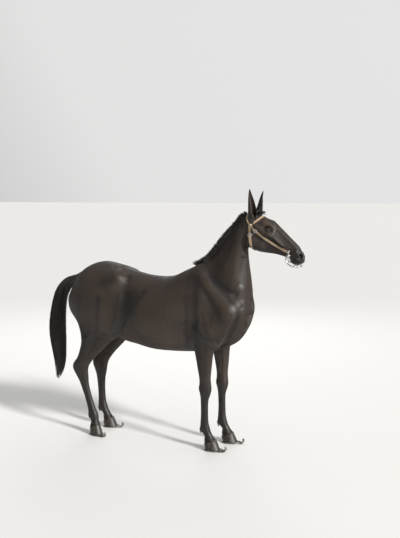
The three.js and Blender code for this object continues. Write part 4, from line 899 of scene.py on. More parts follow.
def tone_of(points):
    """The coat's tone from 0, black, to 1, warm brown, with painted shade and painted highlights."""
    x, y, z = points.T
    u, _, v = into_head(points).T
    region = regions(points)
    _, in_head, leg = part_shares(points)
    tone = 0.42 + 0.14 * bell(z, 860, 120) * step_up(-np.abs(x), -480, -360) * (1 - leg)
    tone = tone - 0.26 * step_up(-z, -620, -360) * leg + 0.13 * leg * step_up(-np.abs(y), -125, -95)
    # Painted shade in the grooves of the relief, and a painted highlight a little lighter on its raised
    # lines.
    tone = tone + 0.028 * np.clip(relief(points), -9, 4)
    # Painted shade and painted highlights from the table's lines, alike on both sides.
    one_side = points * [1, 0, 1] + np.abs(points) * [0, 1, 0]
    for change, width, line in PAINTED_SHADE_AND_HIGHLIGHT:
        tone = tone + change * bell(line_distance(one_side, np.array(line, float)), 0, width)
    crest = columns(NECK)[0](z)
    tone = tone - 0.25 * ((region == NECK_) * bell(x - crest, 0, 34) * bell(y, 0, 34))
    tone = tone - 0.2 * (region == TRUNK_) * bell(y, 0, 22) * (z > 1200)
    to_eye = np.min([np.linalg.norm(points - eye["centre"], axis=1) for eye in EYES.values()], axis=0)
    ring = 0.18 * bell(to_eye, 42, 13)
    muzzle = 0.34 * step_up(u, 400, 480)
    temple = 0.16 * bell(u, 120, 40) * bell(v, 0, 40)
    # Painted shade inside the nostrils.
    nostril_painted_shade = bell(nostril_distance(points), 0, 13)
    tone = tone + in_head * (ring + temple - muzzle - 0.6 * nostril_painted_shade - 0.03)
    return np.where(region == TAIL_, 0.22, tone)


# %% [markdown]
# ## Finishes
#
# Most finishes are built from noise in the object's own coordinates. The sleek coat's noise follows a
# map along each part, and the leather's stitches follow the strap. Hair gets its colour from a tone
# stored on the mesh, a satin gloss, and a fine bump. Numbers that are the same all over a surface are
# set on the shader itself.

# %% Materials and their nodes


def new_material(name, **values):
    """A material with a Principled shader whose plain numbers are set on its own sockets."""
    material = bpy.data.materials.new(name)
    material.use_nodes = True
    shader = material.node_tree.nodes["Principled BSDF"]
    for key, value in values.items():
        shader.inputs[key.replace("_", " ")].default_value = value
    return material, shader


def feed(shader, **outputs):
    """Links outputs of nodes to the shader's inputs of these names."""
    for key, value in outputs.items():
        shader.id_data.links.new(value, shader.inputs[key.replace("_", " ")])


def node(tree, kind, inputs=None, **settings):
    """A node with its settings, and its inputs given as numbers or as outputs to link."""
    made = tree.nodes.new(kind)
    for key, value in settings.items():
        setattr(made, key, value)
    for key, value in (inputs or {}).items():
        if isinstance(value, bpy.types.NodeSocket):
            tree.links.new(value, made.inputs[key])
        else:
            made.inputs[key].default_value = value
    return made


def noise(material, scale, stretch=(1, 1, 1), detail=4.0, source=None):
    """Noise in the object's coordinates, stretched along the axes."""
    tree = material.node_tree
    if source is None:
        source = node(tree, "ShaderNodeTexCoord").outputs["Object"]
    scaled = node(tree, "ShaderNodeMapping", {"Vector": source, "Scale": stretch})
    inputs = {"Vector": scaled.outputs["Vector"], "Scale": scale, "Detail": detail}
    return node(tree, "ShaderNodeTexNoise", inputs).outputs["Fac"]


def ramp(value, *stops):
    """Colours between stops: each is a place from 0 to 1 and a colour."""
    made = node(value.id_data, "ShaderNodeValToRGB", {"Fac": value})
    elements = made.color_ramp.elements
    while len(elements) < len(stops):
        elements.new(0.5)
    for element, (place, colour) in zip(elements, stops):
        element.position = place
        element.color = (*colour, 1)
    return made.outputs["Color"]


def grey_ramp(value, *stops):
    """A ramp of greys: each stop is a place and a level."""
    return ramp(value, *((place, (level, level, level)) for place, level in stops))


def mixed(share, a, b, blend="MIX"):
    """Two colours mixed by a share. The share or the second colour is an output."""
    tree = (share if isinstance(share, bpy.types.NodeSocket) else b).id_data
    return node(tree, "ShaderNodeMix", {0: share, 6: a, 7: b}, data_type="RGBA", blend_type=blend).outputs[2]


def math(operation, a, b=0.0, clamp=False):
    """One sum of an output and a number or another output."""
    made = node(a.id_data, "ShaderNodeMath", {0: a, 1: b}, operation=operation, use_clamp=clamp)
    return made.outputs["Value"]


def swing(value, amount):
    """A value from 0 to 1 turned into one that swings round zero, half the amount to each side."""
    return math("MULTIPLY", math("SUBTRACT", value, 0.5), amount)


def root_of_squares(a, b):
    """The root of the sum of two squares."""
    return math("SQRT", math("ADD", math("MULTIPLY", a, a), math("MULTIPLY", b, b)))


def bump(shader, height, strength, distance):
    """Small relief in the shading, of a depth in metres."""
    inputs = {"Height": height, "Strength": strength, "Distance": distance}
    feed(shader, Normal=node(shader.id_data, "ShaderNodeBump", inputs).outputs["Normal"])


def stored(material, name="tone"):
    """A number that is stored on the mesh."""
    return node(material.node_tree, "ShaderNodeAttribute", attribute_name=name).outputs["Fac"]


def uv_places(material, name):
    """A UV map of the mesh."""
    return node(material.node_tree, "ShaderNodeUVMap", uv_map=name).outputs["UV"]


def parted(places):
    """The outputs X, Y and Z of places."""
    return node(places.id_data, "ShaderNodeSeparateXYZ", {0: places}).outputs


# %% Hair and coat
BLACK_HAIR = (0.006, 0.0045, 0.004)
DARK_HAIR = (0.02, 0.0135, 0.01)
BROWN_HAIR = (0.058, 0.037, 0.024)
LIGHT_HAIR = (0.15, 0.1, 0.066)


def hair_colour(tone, dark=0.35, brown=0.68):
    """The hair's colour for a tone from 0 to 1."""
    return ramp(tone, (0.0, BLACK_HAIR), (dark, DARK_HAIR), (brown, BROWN_HAIR), (1.0, LIGHT_HAIR))


def hair_material(name, roughness, spread, gloss):
    """Hair: the stored tone, moved a little by large and small noise, picks the colour."""
    material, shader = new_material(
        name, Roughness=roughness, Specular_IOR_Level=gloss, Sheen_Weight=0.04, Sheen_Roughness=0.4)
    cloud = swing(noise(material, 5.0), spread)
    fine = swing(noise(material, 260.0, (1, 1, 0.25), 3.0), 0.2)
    tone = math("ADD", stored(material), cloud)
    feed(shader, Base_Color=hair_colour(math("ADD", tone, fine, clamp=True)))
    bump(shader, noise(material, 900.0, (1, 1, 0.2), 2.0), 0.35, 0.0006)
    return material


coat_material = hair_material("short coat", 0.56, 0.26, 0.3)
long_hair_material = hair_material("long hair", 0.36, 0.16, 0.5)


def grain(material, stretch, detail=3.0):
    """Noise drawn out along the lie of the hair, from the map that runs along and round each part."""
    return noise(material, 1.0, stretch, detail, uv_places(material, "grain"))


skin_material, skin_shader = new_material(
    "sleek coat", Roughness=0.42, Specular_IOR_Level=0.5, Sheen_Weight=0.04, Sheen_Roughness=0.4)
skin_streaks = grain(skin_material, (45, 520, 1))
skin_tone = math("ADD", math("MULTIPLY", stored(skin_material), 0.85), swing(noise(skin_material, 6.0), 0.2))
skin_tone = math("ADD", skin_tone, swing(skin_streaks, 0.5), clamp=True)
feed(skin_shader, Base_Color=hair_colour(skin_tone))
bump(skin_shader, math("ADD", skin_streaks, grain(skin_material, (140, 1500, 1), 2.0)), 0.5, 0.0011)
print("finishes:", [material.name for material in bpy.data.materials])

# %% The skin as an object
skin = mesh_piece("skin", skin_vertices, skin_faces)
add_value(skin, "tone", tone_of(skin_vertices))
add_uv(skin, "grain", grain_places(skin_vertices, skin_faces))
finish_piece(
    skin, skin_material, "coat", "torso", "neck", "head",
    "foreleg_right", "foreleg_left", "hindleg_right", "hindleg_left",
)

# %% [markdown]
# ## The short coat
#
# A mule's summer coat is short and lies flat, so each tuft is a small flat wedge that hugs the skin and
# follows the lie: from the poll down the neck, from the withers back along the barrel, and down the
# legs. A wedge has four faces, so there can be a great many of them. They are shortest and closest on
# the face and feet. Each tip is drawn to the relieved skin again, so that the tufts follow its curve.

# %% Even random roots on the skin


def scattered(vertices, normals, triangles, spacing, limit, crowd=5.0):
    """Random points on triangles by area, thinned to one in each small cube, with the normals there."""
    a, b, c = (vertices[triangles[:, k]] for k in range(3))
    area = np.linalg.norm(np.cross(b - a, c - a), axis=1) / 2
    count = int(crowd * area.sum() / spacing ** 2)
    pick = random.choice(len(triangles), count, p=area / area.sum())
    p, q = random.random((2, count))
    over = p + q > 1
    p[over], q[over] = 1 - p[over], 1 - q[over]
    shares = side_by_side(1 - p - q, p, q)[..., None]
    points = np.sum(vertices[triangles[pick]] * shares, axis=1)
    cube = np.floor(points / spacing).astype(np.int64)
    key = (cube[:, 0] * 4096 + cube[:, 1]) * 4096 + cube[:, 2]
    kept = np.unique(key, return_index=True)[1]
    if len(kept) > limit:
        kept = random.choice(kept, limit, replace=False)
    return points[kept], unit(np.sum(normals[triangles[pick[kept]]] * shares[kept], axis=1))


def lie_of(points, normals):
    """The way the hair lies at each point, flat on the skin, with slow swirls and a little scatter.
    Between two parts it turns smoothly from the one's way to the other's."""
    x, y, z = points.T
    u, _, v = into_head(points).T
    neck, head, leg = (share[:, None] for share in part_shares(points))
    way = np.tile([-1.0, 0.0, -0.34], (len(points), 1))
    way[:, 2] += 0.9 * bell(x, -190, 70) * bell(z, 1060, 150)
    way += neck * (np.array([-0.42, 0.0, -0.9]) - way)
    low = step_up(-z, -1000, -820)
    way += leg * (side_by_side(-0.35 * (1 - low) - 0.08, 0, -1) - way)
    cheek = (step_up(-v, 60, 120) * step_up(-u, -330, -220))[:, None]
    way += head * (HEAD_AXES[0] + cheek * (np.array([-0.2, 0.0, -1.0]) - HEAD_AXES[0]) - way)
    way[x < TAIL_BEHIND] = (-0.35, 0.0, -0.9)
    swirl = 0.2 * np.sin(x / 61 + z / 47) + 0.14 * np.sin(z / 29 - x / 83 + y / 37)
    turn = swirl + random.normal(0, 0.1, len(points))
    way = unit(way - normals * np.sum(way * normals, axis=1, keepdims=True))
    across = np.cross(normals, way)
    return way * np.cos(turn)[:, None] + across * np.sin(turn)[:, None]


# %% Tufts as small wedges
TUFT_FACES = np.array([(0, 1, 2), (1, 3, 2), (3, 0, 2), (0, 3, 1)])
PATCH = 0.003
TUFT_PATCH = np.array([(0, 0), (1, 0), (0.5, 0.35), (0.5, 1)]) * PATCH
ROOT_DEPTH, FARTHEST_HUG = 0.35, 7


def tufts(roots, normals, lies, length, width, lift, hug):
    """Four points a tuft: two sunk at the root's sides, one on its ridge, and the tip near the skin."""
    across = np.cross(normals, lies)
    length, width, lift = (np.broadcast_to(v, len(roots))[:, None] for v in (length, width, lift))
    tip = roots + lies * length
    for _ in range(2 * hug):
        height = body_distance(tip) - relief(tip)
        tip -= normals * np.clip(height, -FARTHEST_HUG, FARTHEST_HUG)[:, None]
    tip += normals * lift
    base = roots - normals * ROOT_DEPTH
    ridge = roots + lies * length * 0.36 + normals * (0.1 * width + 0.5 * lift)
    return np.stack([base + across * width / 2, base - across * width / 2, ridge, tip], axis=1)


def coat_piece(name, points, normals, lies, length, width, lift, tone, hug=True):
    """One object of many tufts, with each tuft's own small patch on the coat's flat map."""
    vertices = tufts(points, normals, lies, length, width, lift, hug)
    faces = (TUFT_FACES[None] + 4 * np.arange(len(points))[:, None, None]).reshape(-1, 3)
    piece = mesh_piece(name, vertices.reshape(-1, 3), faces)
    places = unwrap(points, regions(points))[:, None] + TUFT_PATCH
    add_uv(piece, "OFBake", places.reshape(-1, 2))
    add_value(piece, "tone", np.repeat(np.clip(tone, 0, 1), 4))
    return finish_piece(piece, coat_material, "coat")


# %% How long the hair is, and where none grows


def hair_size(points):
    """Length of the hair at each point: short on the face and lower legs, a fringe above the hooves,
    and shorter in a groove, which it would bridge."""
    z = points[:, 2]
    neck, head, leg = part_shares(points)
    u = into_head(points)[:, 0]
    size = 19.0 - 3.0 * neck
    size += head * (10.0 - 5.5 * step_up(u, 300, 500) - size)
    size += leg * (9.0 + 9.0 * step_up(z, 480, 900) + 8.0 * bell(z, 92, 14) - size)
    size = size * (1 - 0.45 * step_up(-relief(points), 1.5, 6))
    return size * (1 - 0.6 * step_up(-nostril_distance(points), -26, -13))


LID_REACH = np.array([34.0, 31.0])


def is_bare(points):
    """Where no tuft grows: inside the nostrils, on the lids, in the mouth, and in the hooves."""
    u, _, v = into_head(points).T
    bare = np.zeros(len(points), bool)
    for eye in EYES.values():
        a, b, c = ((points - eye["centre"]) @ eye["axes"].T).T
        bare |= ((a / LID_REACH[0]) ** 2 + (b / LID_REACH[1]) ** 2 < 0.8) & (c > 0) & (c < 60)
    bare |= nostril_distance(points) < 12
    for name in LIMBS:
        low, high, _, distance = under_coronet(name)
        here = np.all((points >= low) & (points <= high), axis=1)
        bare |= here & (distance(*points.T) < 4)
    mouth = (regions(points) == HEAD_) & (u > 520) & (np.abs(v + 109) < 4)
    return bare | mouth | (points[:, 0] < -850)


# %% The coat, area by area
triangle_middle = skin_vertices[skin_triangles].mean(axis=1)
triangle_region = regions(triangle_middle)
on_leg = (triangle_region >= 3) & (triangle_region <= 6)
on_face = (triangle_region == HEAD_) & (into_head(triangle_middle)[:, 0] > -20)
on_trunk = (triangle_region == TRUNK_) | (triangle_region == TAIL_)
on_neck = ~on_leg & ~on_face & ~on_trunk
middle_x, middle_z = triangle_middle[:, 0], triangle_middle[:, 2]
TUFT_LIMIT = 47000  # keeps each piece under 200,000 triangles
COAT_AREAS = {  # which triangles, and how far apart the tufts are, in millimetres
    "coat_head": (on_face, 2.65),
    "coat_neck": (on_neck, 3.6),
    "coat_shoulders": (on_trunk & (middle_x > 330), 4.45),
    "coat_barrel": (on_trunk & (np.abs(middle_x - 40) <= 290), 5.2),
    "coat_croup": (on_trunk & (middle_x < -250), 4.9),
    "coat_thighs": (on_leg & (middle_z >= 560), 4.05),
    "coat_shins": (on_leg & (middle_z < 560), 3.4),
}
for coat_name, (chosen, spacing) in COAT_AREAS.items():
    roots, normals = scattered(skin_vertices, skin_normals, skin_triangles[chosen], spacing, TUFT_LIMIT)
    growing = ~is_bare(roots)
    roots, normals = roots[growing], normals[growing]
    count = len(roots)
    length = hair_size(roots) * random.uniform(0.75, 1.25, count)
    lift = 0.022 * length * random.uniform(0.2, 1.4, count)
    tone = tone_of(roots) + random.normal(0, 0.045, count)
    coat_piece(coat_name, roots, normals, lie_of(roots, normals), length, 0.13 * length + 0.7, lift, tone)

# %% [markdown]
# ## Locks of long hair
#
# Mane, forelock and tail are locks: a path for each one, with rings of three or four points that taper
# to the tip and turn with the path. A few hundred broad locks give the body of the tail, and many thin
# ones break up its surface and its end.

# %% Locks along paths


def closed_grid(rows, columns_):
    """Faces of a grid whose columns close up round it."""
    i = np.arange(rows - 1)[:, None] * columns_
    j = np.arange(columns_)[None]
    k = (j + 1) % columns_
    return np.stack([i + j, i + k, i + k + columns_, i + j + columns_], axis=-1).reshape(-1, 4)


def uneven(count):
    """How large each lock is beside the others."""
    return random.uniform(0.7, 1.3, count)


def lock_arrays(paths, facing, width, thick, sides):
    """Rings of points round each path, which shrink with the root of one less the distance squared."""
    count, steps, _ = paths.shape
    along = unit(np.gradient(paths, axis=1))
    across = unit(np.cross(along, facing))
    out = np.cross(across, along)
    t = np.linspace(0, 1, steps)
    taper = np.sqrt(1 - 0.985 * t * t)[None, :, None, None]
    turn = 2 * np.pi * np.arange(sides) / sides
    ring = np.cos(turn)[:, None] * across[:, :, None] * (np.reshape(width, (-1, 1, 1, 1)) / 2)
    ring = ring + np.sin(turn)[:, None] * out[:, :, None] * (np.reshape(thick, (-1, 1, 1, 1)) / 2)
    vertices = paths[:, :, None] + taper * ring
    faces = closed_grid(steps, sides)[None] + steps * sides * np.arange(count)[:, None, None]
    return vertices.reshape(-1, 3), faces.reshape(-1, 4)


def joined(*meshes):
    """Several arrays of vertices and faces as one pair."""
    vertices, faces, start = [], [], 0
    for points, quads in meshes:
        vertices.append(points)
        faces.append(quads + start)
        start += len(points)
    return np.concatenate(vertices), np.concatenate(faces)


def lock_piece(name, bundles, *nodes):
    """One object of long hair from bundles of locks, with a small patch of the flat map for each lock."""
    places, tones = [], []
    for paths, _, _, _, sides in bundles:
        count, steps, _ = paths.shape
        root = unwrap(paths[:, 0], regions(paths[:, 0]))
        t, s = np.meshgrid(np.linspace(0, 1, steps), np.linspace(0, 1, sides), indexing="ij")
        patch = side_by_side(s, t).reshape(1, -1, 2) * PATCH
        places.append((root[:, None] + patch).reshape(-1, 2))
        tones.append(np.repeat(random.uniform(0.05, 0.42, count), steps * sides))
    piece = mesh_piece(name, *joined(*[lock_arrays(*bundle) for bundle in bundles]))
    add_uv(piece, "OFBake", np.concatenate(places))
    add_value(piece, "tone", np.concatenate(tones))
    return finish_piece(piece, long_hair_material, "tail_hair" if name == "tail_hair" else "coat", *nodes)


# %% The tail
TAIL_HAIR = [  # share of the length from root to end: middle line x and z, half depth, half width
    (-0.15, -775, 1274, 42, 40), (0, -846, 1254, 44, 40), (0.1, -884, 1216, 52, 45),
    (0.2, -924, 1156, 58, 50), (0.3, -949, 1078, 62, 54), (0.4, -965, 984, 68, 57),
    (0.5, -973, 880, 76, 60), (0.6, -971, 770, 78, 60), (0.7, -960, 660, 68, 52),
    (0.8, -954, 560, 55, 43), (0.9, -966, 462, 36, 30), (1, -988, 375, 12, 9),
]


def tail_bundle(count, steps, width, thick, sides, spread, starts=(-0.06, 0.42), inner=0.55):
    """Locks from the dock: each starts at its own share of the tail's length and ends at another,
    runs at its own turn round the middle line, and wavers a little."""
    mid_x, mid_z, deep, wide = columns(TAIL_HAIR)
    start = random.uniform(*starts, count)
    end = np.clip(start + random.uniform(0.45, 0.62, count), 0.5, random.uniform(0.86, 1.0, count))
    turn = random.uniform(0, 2 * np.pi, count)
    share = spread * np.sqrt(random.uniform(0.3, 1.0, count))
    phase = random.uniform(0, 2 * np.pi, count)
    f = np.linspace(0, 1, steps)[None]
    t = start[:, None] + (end - start)[:, None] * f
    out = share[:, None] * (inner + (1 - inner) * np.minimum(1, 3.2 * f))
    phase = phase[:, None]
    swirl = turn[:, None] + 0.16 * np.sin(5 * f + phase) + 0.05 * np.sin(13 * f + 2 * phase)
    fall_x, fall_z = (line(t + 0.01) - line(t - 0.01) for line in (mid_x, mid_z))
    fall = unit(side_by_side(fall_x, 0, fall_z))
    fore = side_by_side(-fall[..., 2], 0, fall[..., 0])
    facing = fore * np.cos(swirl)[..., None] + np.array([0, 1, 0]) * np.sin(swirl)[..., None]
    paths = side_by_side(mid_x(t), (out * wide(t)) * np.sin(swirl), mid_z(t))
    paths = paths + fore * (out * deep(t) * np.cos(swirl))[..., None]
    size = uneven(count)
    return paths, facing, width * size, thick * size, sides


lock_piece("tail_hair", [
    tail_bundle(420, 12, 15, 6, 4, 0.84), tail_bundle(1150, 12, 4.4, 2.4, 3, 0.97),
    tail_bundle(330, 10, 5.0, 2.4, 3, 1.02, (-0.15, 0.06), 0.93),
], "tail")

# %% The hogged mane, forelock and the tuft on the withers
MANE_FROM, MANE_TO, MANE_HEIGHT = 1440, 1822, 52


def upright_bundle(roots, ups, lean, height, width, thick, steps=5):
    """Short locks that stand up from their roots and bend a little towards the lean."""
    count = len(roots)
    f = np.linspace(0, 1, steps)[None, :, None]
    rise = np.reshape(height, (-1, 1, 1))
    paths = roots[:, None] + ups[:, None] * (rise * f - 8 * (1 - f)) + lean[:, None] * f ** 2
    facing = np.broadcast_to(unit(random.normal(0, 1, (count, 1, 3)) * [1, 2, 0.4]), paths.shape)
    return paths, facing, width, thick, 3


def mane_bundle(count):
    """Locks along the crest, cut to a brush that swells over the middle of the neck."""
    crest = columns(NECK)[0]
    z = random.uniform(MANE_FROM, MANE_TO, count)
    slope = (crest(z + 4) - crest(z - 4)) / 8
    up, along = unit(side_by_side(-1, 0, slope)), unit(side_by_side(slope, 0, 1))
    row = random.uniform(-15, 15, count)
    roots = onto_skin(side_by_side(crest(z), row, z), rounds=4)
    t = (z - MANE_FROM) / (MANE_TO - MANE_FROM)
    swell = np.sin(np.pi * np.minimum(1, 1.2 * t + 0.12))
    height = MANE_HEIGHT * (0.74 + 0.28 * swell) * random.uniform(0.66, 1.14, count)
    lean = along * random.normal(-7, 5, count)[:, None] + np.array([0, 1, 0]) * (0.35 * row)[:, None]
    size = uneven(count)
    return upright_bundle(roots, up, lean, height, 5.0 * size, 2.4 * size)


def withers_bundle(count):
    """The tuft where the mane ends on the withers."""
    x = random.uniform(322, 420, count)
    roots = onto_skin(side_by_side(x, random.normal(0, 7, count), 1450), rounds=5)
    up = unit(body_normal(roots) + [-0.5, 0, 0])
    lean = random.normal(0, 6, (count, 3)) + [-16, 0, -3]
    size = uneven(count)
    return upright_bundle(roots, up, lean, random.uniform(20, 38, count), 4.5 * size, 2.2 * size)


def forelock_bundle(count):
    """Short locks between the ears that fall forward and outward."""
    t = random.uniform(-1, 1, count)
    roots = onto_skin(side_by_side(812 + random.normal(0, 9, count), 24 * t, 1840), rounds=5)
    up = unit(body_normal(roots) + [0.5, 0, 0.1])
    lean = random.normal(0, 7, (count, 3)) + side_by_side(38, 14 * t, -14)
    size = uneven(count)
    return upright_bundle(roots, up, lean, random.uniform(20, 44, count), 4.0 * size, 2.0 * size, steps=7)


lock_piece("mane", [mane_bundle(2800), withers_bundle(160), forelock_bundle(260)])

# %% Fetlock hair and whiskers


def fetlock_bundle(name, count=110):
    """A short tuft behind each fetlock, that hangs to a point."""
    _, outline, _, _, _ = LIMBS[name]
    axis_x, axis_y = limb_axis(name)
    _, back, half = columns(outline)
    z = random.uniform(140, 182, count)
    turn = random.normal(0, 0.45, count)
    x, y = axis_x(z) - back(z) * np.cos(turn), axis_y(z) + half(z) * np.sin(turn)
    roots = onto_skin(side_by_side(x, y, z), rounds=5)
    length = random.uniform(14, 28, count) * np.cos(turn)
    f = np.linspace(0, 1, 6)[None, :, None]
    inward = side_by_side(0, -0.4 * half(z) * np.sin(turn), 0)
    paths = roots[:, None] + body_normal(roots)[:, None] * (4 * f - 1.5) + inward[:, None] * f
    paths = paths + np.array([-0.16, 0, -1]) * (length[:, None, None] * f)
    facing = np.broadcast_to(body_normal(roots)[:, None], paths.shape)
    size = uneven(count)
    return paths, facing, 2.8 * size, 1.4 * size, 3


def whisker_bundle(count=46):
    """A few stiff hairs on the lips and the chin."""
    u, v = random.uniform(478, 540, count), random.uniform(-146, -78, count)
    y = random.uniform(-44, 44, count)
    roots = onto_skin(head_points(side_by_side(u, y, v)), rounds=8)
    length = random.uniform(18, 38, (count, 1, 1))
    f = np.linspace(0, 1, 6)[None, :, None]
    out = unit(body_normal(roots) + random.normal(0, 0.25, (count, 3)))
    paths = roots[:, None] + length * (out[:, None] * f + np.array([0, 0, -0.3]) * f ** 2)
    facing = np.broadcast_to([0.3, 0.2, 1.0], paths.shape)
    return paths, facing, np.full(count, 0.6), np.full(count, 0.5), 3


lock_piece("fetlock_hair", [fetlock_bundle(name) for name in LIMBS] + [whisker_bundle()])
print("long hair made")

# %% [markdown]
# ## Ears
#
# A mule's ear is a long leaf rolled into a cup: a closed tube at its foot, open towards the front.
# The same leaf is worked out as a grid round its back and along its length, once for the outside and
# once for the inside, and the foot flares into the head.

# %% The ear's leaf
EARS = {  # side, foot, tip, and how far the opening turns out, in radians
    "ear_right": (-1, (808, -46, 1776), (793, -72, 2023), 0.5),
    "ear_left": (1, (806, 46, 1776), (850, 74, 2009), 0.5),
}
EAR_SHAPE = [  # share of the length, half width, how far the leaf wraps from the back in degrees
    (-0.12, 24, 168), (0, 27, 165), (0.15, 32, 150), (0.35, 33, 122),
    (0.6, 27, 100), (0.8, 19, 84), (0.93, 10, 74), (1, 4, 66),
]
EAR_THICK = 5.0


def ear_frame(name):
    """An ear's foot, its axis, the way it opens, the way across, and its length."""
    side, foot, tip, facing = EARS[name]
    foot, tip = np.array(foot, float), np.array(tip, float)
    axis = unit(tip - foot)
    opening = np.array([np.cos(facing), side * np.sin(facing), 0])
    across = unit(np.cross(axis, opening))
    return foot, axis, np.cross(across, axis), across, np.linalg.norm(tip - foot)


def ear_surface(name, t, turn, inset):
    """Points of the leaf at a share of its length and of its wrap, moved in from the outside."""
    foot, axis, opening, across, length = ear_frame(name)
    radius, wrap = columns(EAR_SHAPE)
    r = radius(t) - 0.6 - inset * (1 - 0.55 * t)
    angle = np.radians(wrap(t)) * turn
    lean = 10 * np.sin(np.pi * t) + 0.25 * inset
    points = foot + axis * (length * 0.995 * t)[..., None] + opening * (lean - r * np.cos(angle))[..., None]
    return points + across * (r * np.sin(angle))[..., None]


def ear_mesh(name, rows=70, columns_=48):
    """A closed grid: round the outside from one edge to the other, then back along the inside."""
    share = np.linspace(-0.1, 1, rows)
    sweep = np.linspace(-1, 1, columns_)
    turn = np.concatenate([sweep, sweep[::-1]])
    roll = 0.5 - 0.5 * np.sqrt(1 - 0.98 * sweep ** 8)
    inset = np.concatenate([roll, 1 - roll])
    t, s = np.meshgrid(share, turn, indexing="ij")
    flat = ear_surface(name, t, s, EAR_THICK * inset[None]).reshape(-1, 3)
    foot, axis, _, _, _ = ear_frame(name)
    rel = flat - foot
    outward = unit(rel - axis * (rel @ axis)[:, None])
    flare = 9 * np.clip(1 - body_distance(flat) / 22, 0, 1) ** 2 * np.tile(inset < 0.5, rows)
    flat = flat + outward * flare[:, None]
    grain_map = side_by_side(0.27 * t, 0.1 * s).reshape(-1, 2)
    return flat, closed_grid(rows, len(turn)), np.tile(inset, rows), np.repeat(share, len(turn)), grain_map


for ear_name in EARS:
    vertices, faces, depth, share, grain_map = ear_mesh(ear_name)
    ear = mesh_piece(ear_name + "_leaf", vertices, faces[:, ::-1])
    tone = np.where(depth < 0.5, 0.36, 0.56) - 0.3 * bell(depth, 0.5, 0.2)
    add_value(ear, "tone", tone - 0.14 * step_up(share, 0.7, 1))
    add_uv(ear, "grain", grain_map)
    finish_piece(ear, skin_material, "coat", ear_name)

# %% Hair on and in the ears


def ear_tufts(name, count, inside):
    """Tufts on the leaf: outside they run up to the tip, inside they are long and lean out of the cup."""
    t = random.uniform(0.03, 0.98, count)
    if inside:
        turn = random.choice([-1, 1], count) * random.uniform(0.3, 0.97, count)
    else:
        turn = random.uniform(-1, 1, count)
    inset = EAR_THICK * inside + 0 * t
    here = ear_surface(name, t, turn, inset)
    lie = unit(ear_surface(name, t + 0.02, turn, inset) - here)
    normal = unit(np.cross(ear_surface(name, t, turn + 0.03, inset) - here, lie))
    if not inside:
        return here, normal, lie, 7 * random.uniform(0.7, 1.2, count), 0.34 + 0 * t
    lie = unit(lie + 0.6 * ear_frame(name)[2] * random.uniform(0.2, 1, count)[:, None])
    normal = unit(-normal - lie * np.sum(-normal * lie, axis=1, keepdims=True))
    return here, normal, lie, 16 * random.uniform(0.6, 1.2, count) * (1 - 0.4 * t), 0.58 + 0 * t


for ear_name in EARS:
    groups = [ear_tufts(ear_name, 6000, False), ear_tufts(ear_name, 1800, True)]
    points, normals, lies, length, tone = (np.concatenate(group) for group in zip(*groups))
    tone = tone + random.normal(0, 0.07, len(tone)) - 0.12 * step_up(points[:, 2], 1930, 2010)
    coat_piece(ear_name + "_hair", points, normals, lies, length, 0.1 * length + 0.5, 0.03 * length,
               tone, hug=False)

# %% [markdown]
# ## Eyes and lids
#
# The eye is large, round and nearly black, with a lying oval pupil. The ball has a slightly raised
# cornea. The lids are a collar: it starts on the ball at the almond-shaped opening, rolls over a soft
# edge and runs out into the skin, with two folds above.

# %% A wet eye
eye_material, eye_shader = new_material(
    "wet eye", Roughness=0.04, IOR=1.42, Coat_Weight=1.0, Coat_Roughness=0.02)
eye_parts = parted(uv_places(eye_material, "eye"))
eye_a, eye_b = (swing(eye_parts[axis], 2.0) for axis in "XY")
PUPIL_FLATNESS = 1.9
pupil = root_of_squares(eye_a, math("MULTIPLY", eye_b, PUPIL_FLATNESS))
iris = ramp(
    root_of_squares(eye_a, eye_b), (0.0, (0.024, 0.011, 0.005)), (0.66, (0.034, 0.015, 0.006)),
    (0.8, (0.01, 0.005, 0.003)), (0.85, (0.003, 0.002, 0.002)), (0.92, (0.06, 0.042, 0.034)))
outside_pupil = grey_ramp(pupil, (0.48, 0), (0.54, 1))
feed(eye_shader, Base_Color=mixed(outside_pupil, (0.002, 0.002, 0.003, 1), iris))

# %% The eyeballs
BALL_ROWS, BALL_COLUMNS = 40, 56


def dial(rows, columns_, first=0.0, last=1.0):
    """A grid whose rows run from the first value to the last and whose columns go once round."""
    turn = np.linspace(0, 2 * np.pi, columns_, endpoint=False)
    return np.meshgrid(np.linspace(first, last, rows), turn, indexing="ij")


for eye_name, eye in EYES.items():
    polar, turn = dial(BALL_ROWS, BALL_COLUMNS, 0.002, np.pi - 0.002)
    radius = EYE_RADIUS - 0.4 + 1.1 * np.exp(-(polar / 0.5) ** 4)
    local = side_by_side(np.sin(polar) * np.cos(turn), np.sin(polar) * np.sin(turn), np.cos(polar))
    vertices = eye["centre"] + (local * radius[..., None]).reshape(-1, 3) @ eye["axes"]
    faces = closed_grid(BALL_ROWS, BALL_COLUMNS)[:, ::-eye["side"]]
    ball = mesh_piece(eye_name + "_ball", vertices, faces)
    flat = local.reshape(-1, 3)
    places = np.where(flat[:, 2:] > 0, flat[:, :2], unit(flat[:, :2])) * 0.5 + 0.5
    add_uv(ball, "eye", places)
    finish_piece(ball, eye_material, "eye", eye_name)

# %% The lids
lid_material, lid_shader = new_material(
    "lid skin", Roughness=0.38, Specular_IOR_Level=0.5, Sheen_Weight=0.1, Sheen_Roughness=0.4)
feed(lid_shader, Base_Color=hair_colour(stored(lid_material), 0.4, 0.75))
bump(lid_shader, noise(lid_material, 520.0), 0.35, 0.0006)
LID_LONG, LID_HIGH_UP, LID_HIGH_DOWN = 19.5, 13.5, 10.0
LID_ROWS, LID_COLUMNS = 44, 96


def shell_distance(points):
    """The body's distance without its hollows, so that the lids can close over them."""
    return body_distance(points, PARTS[:1])


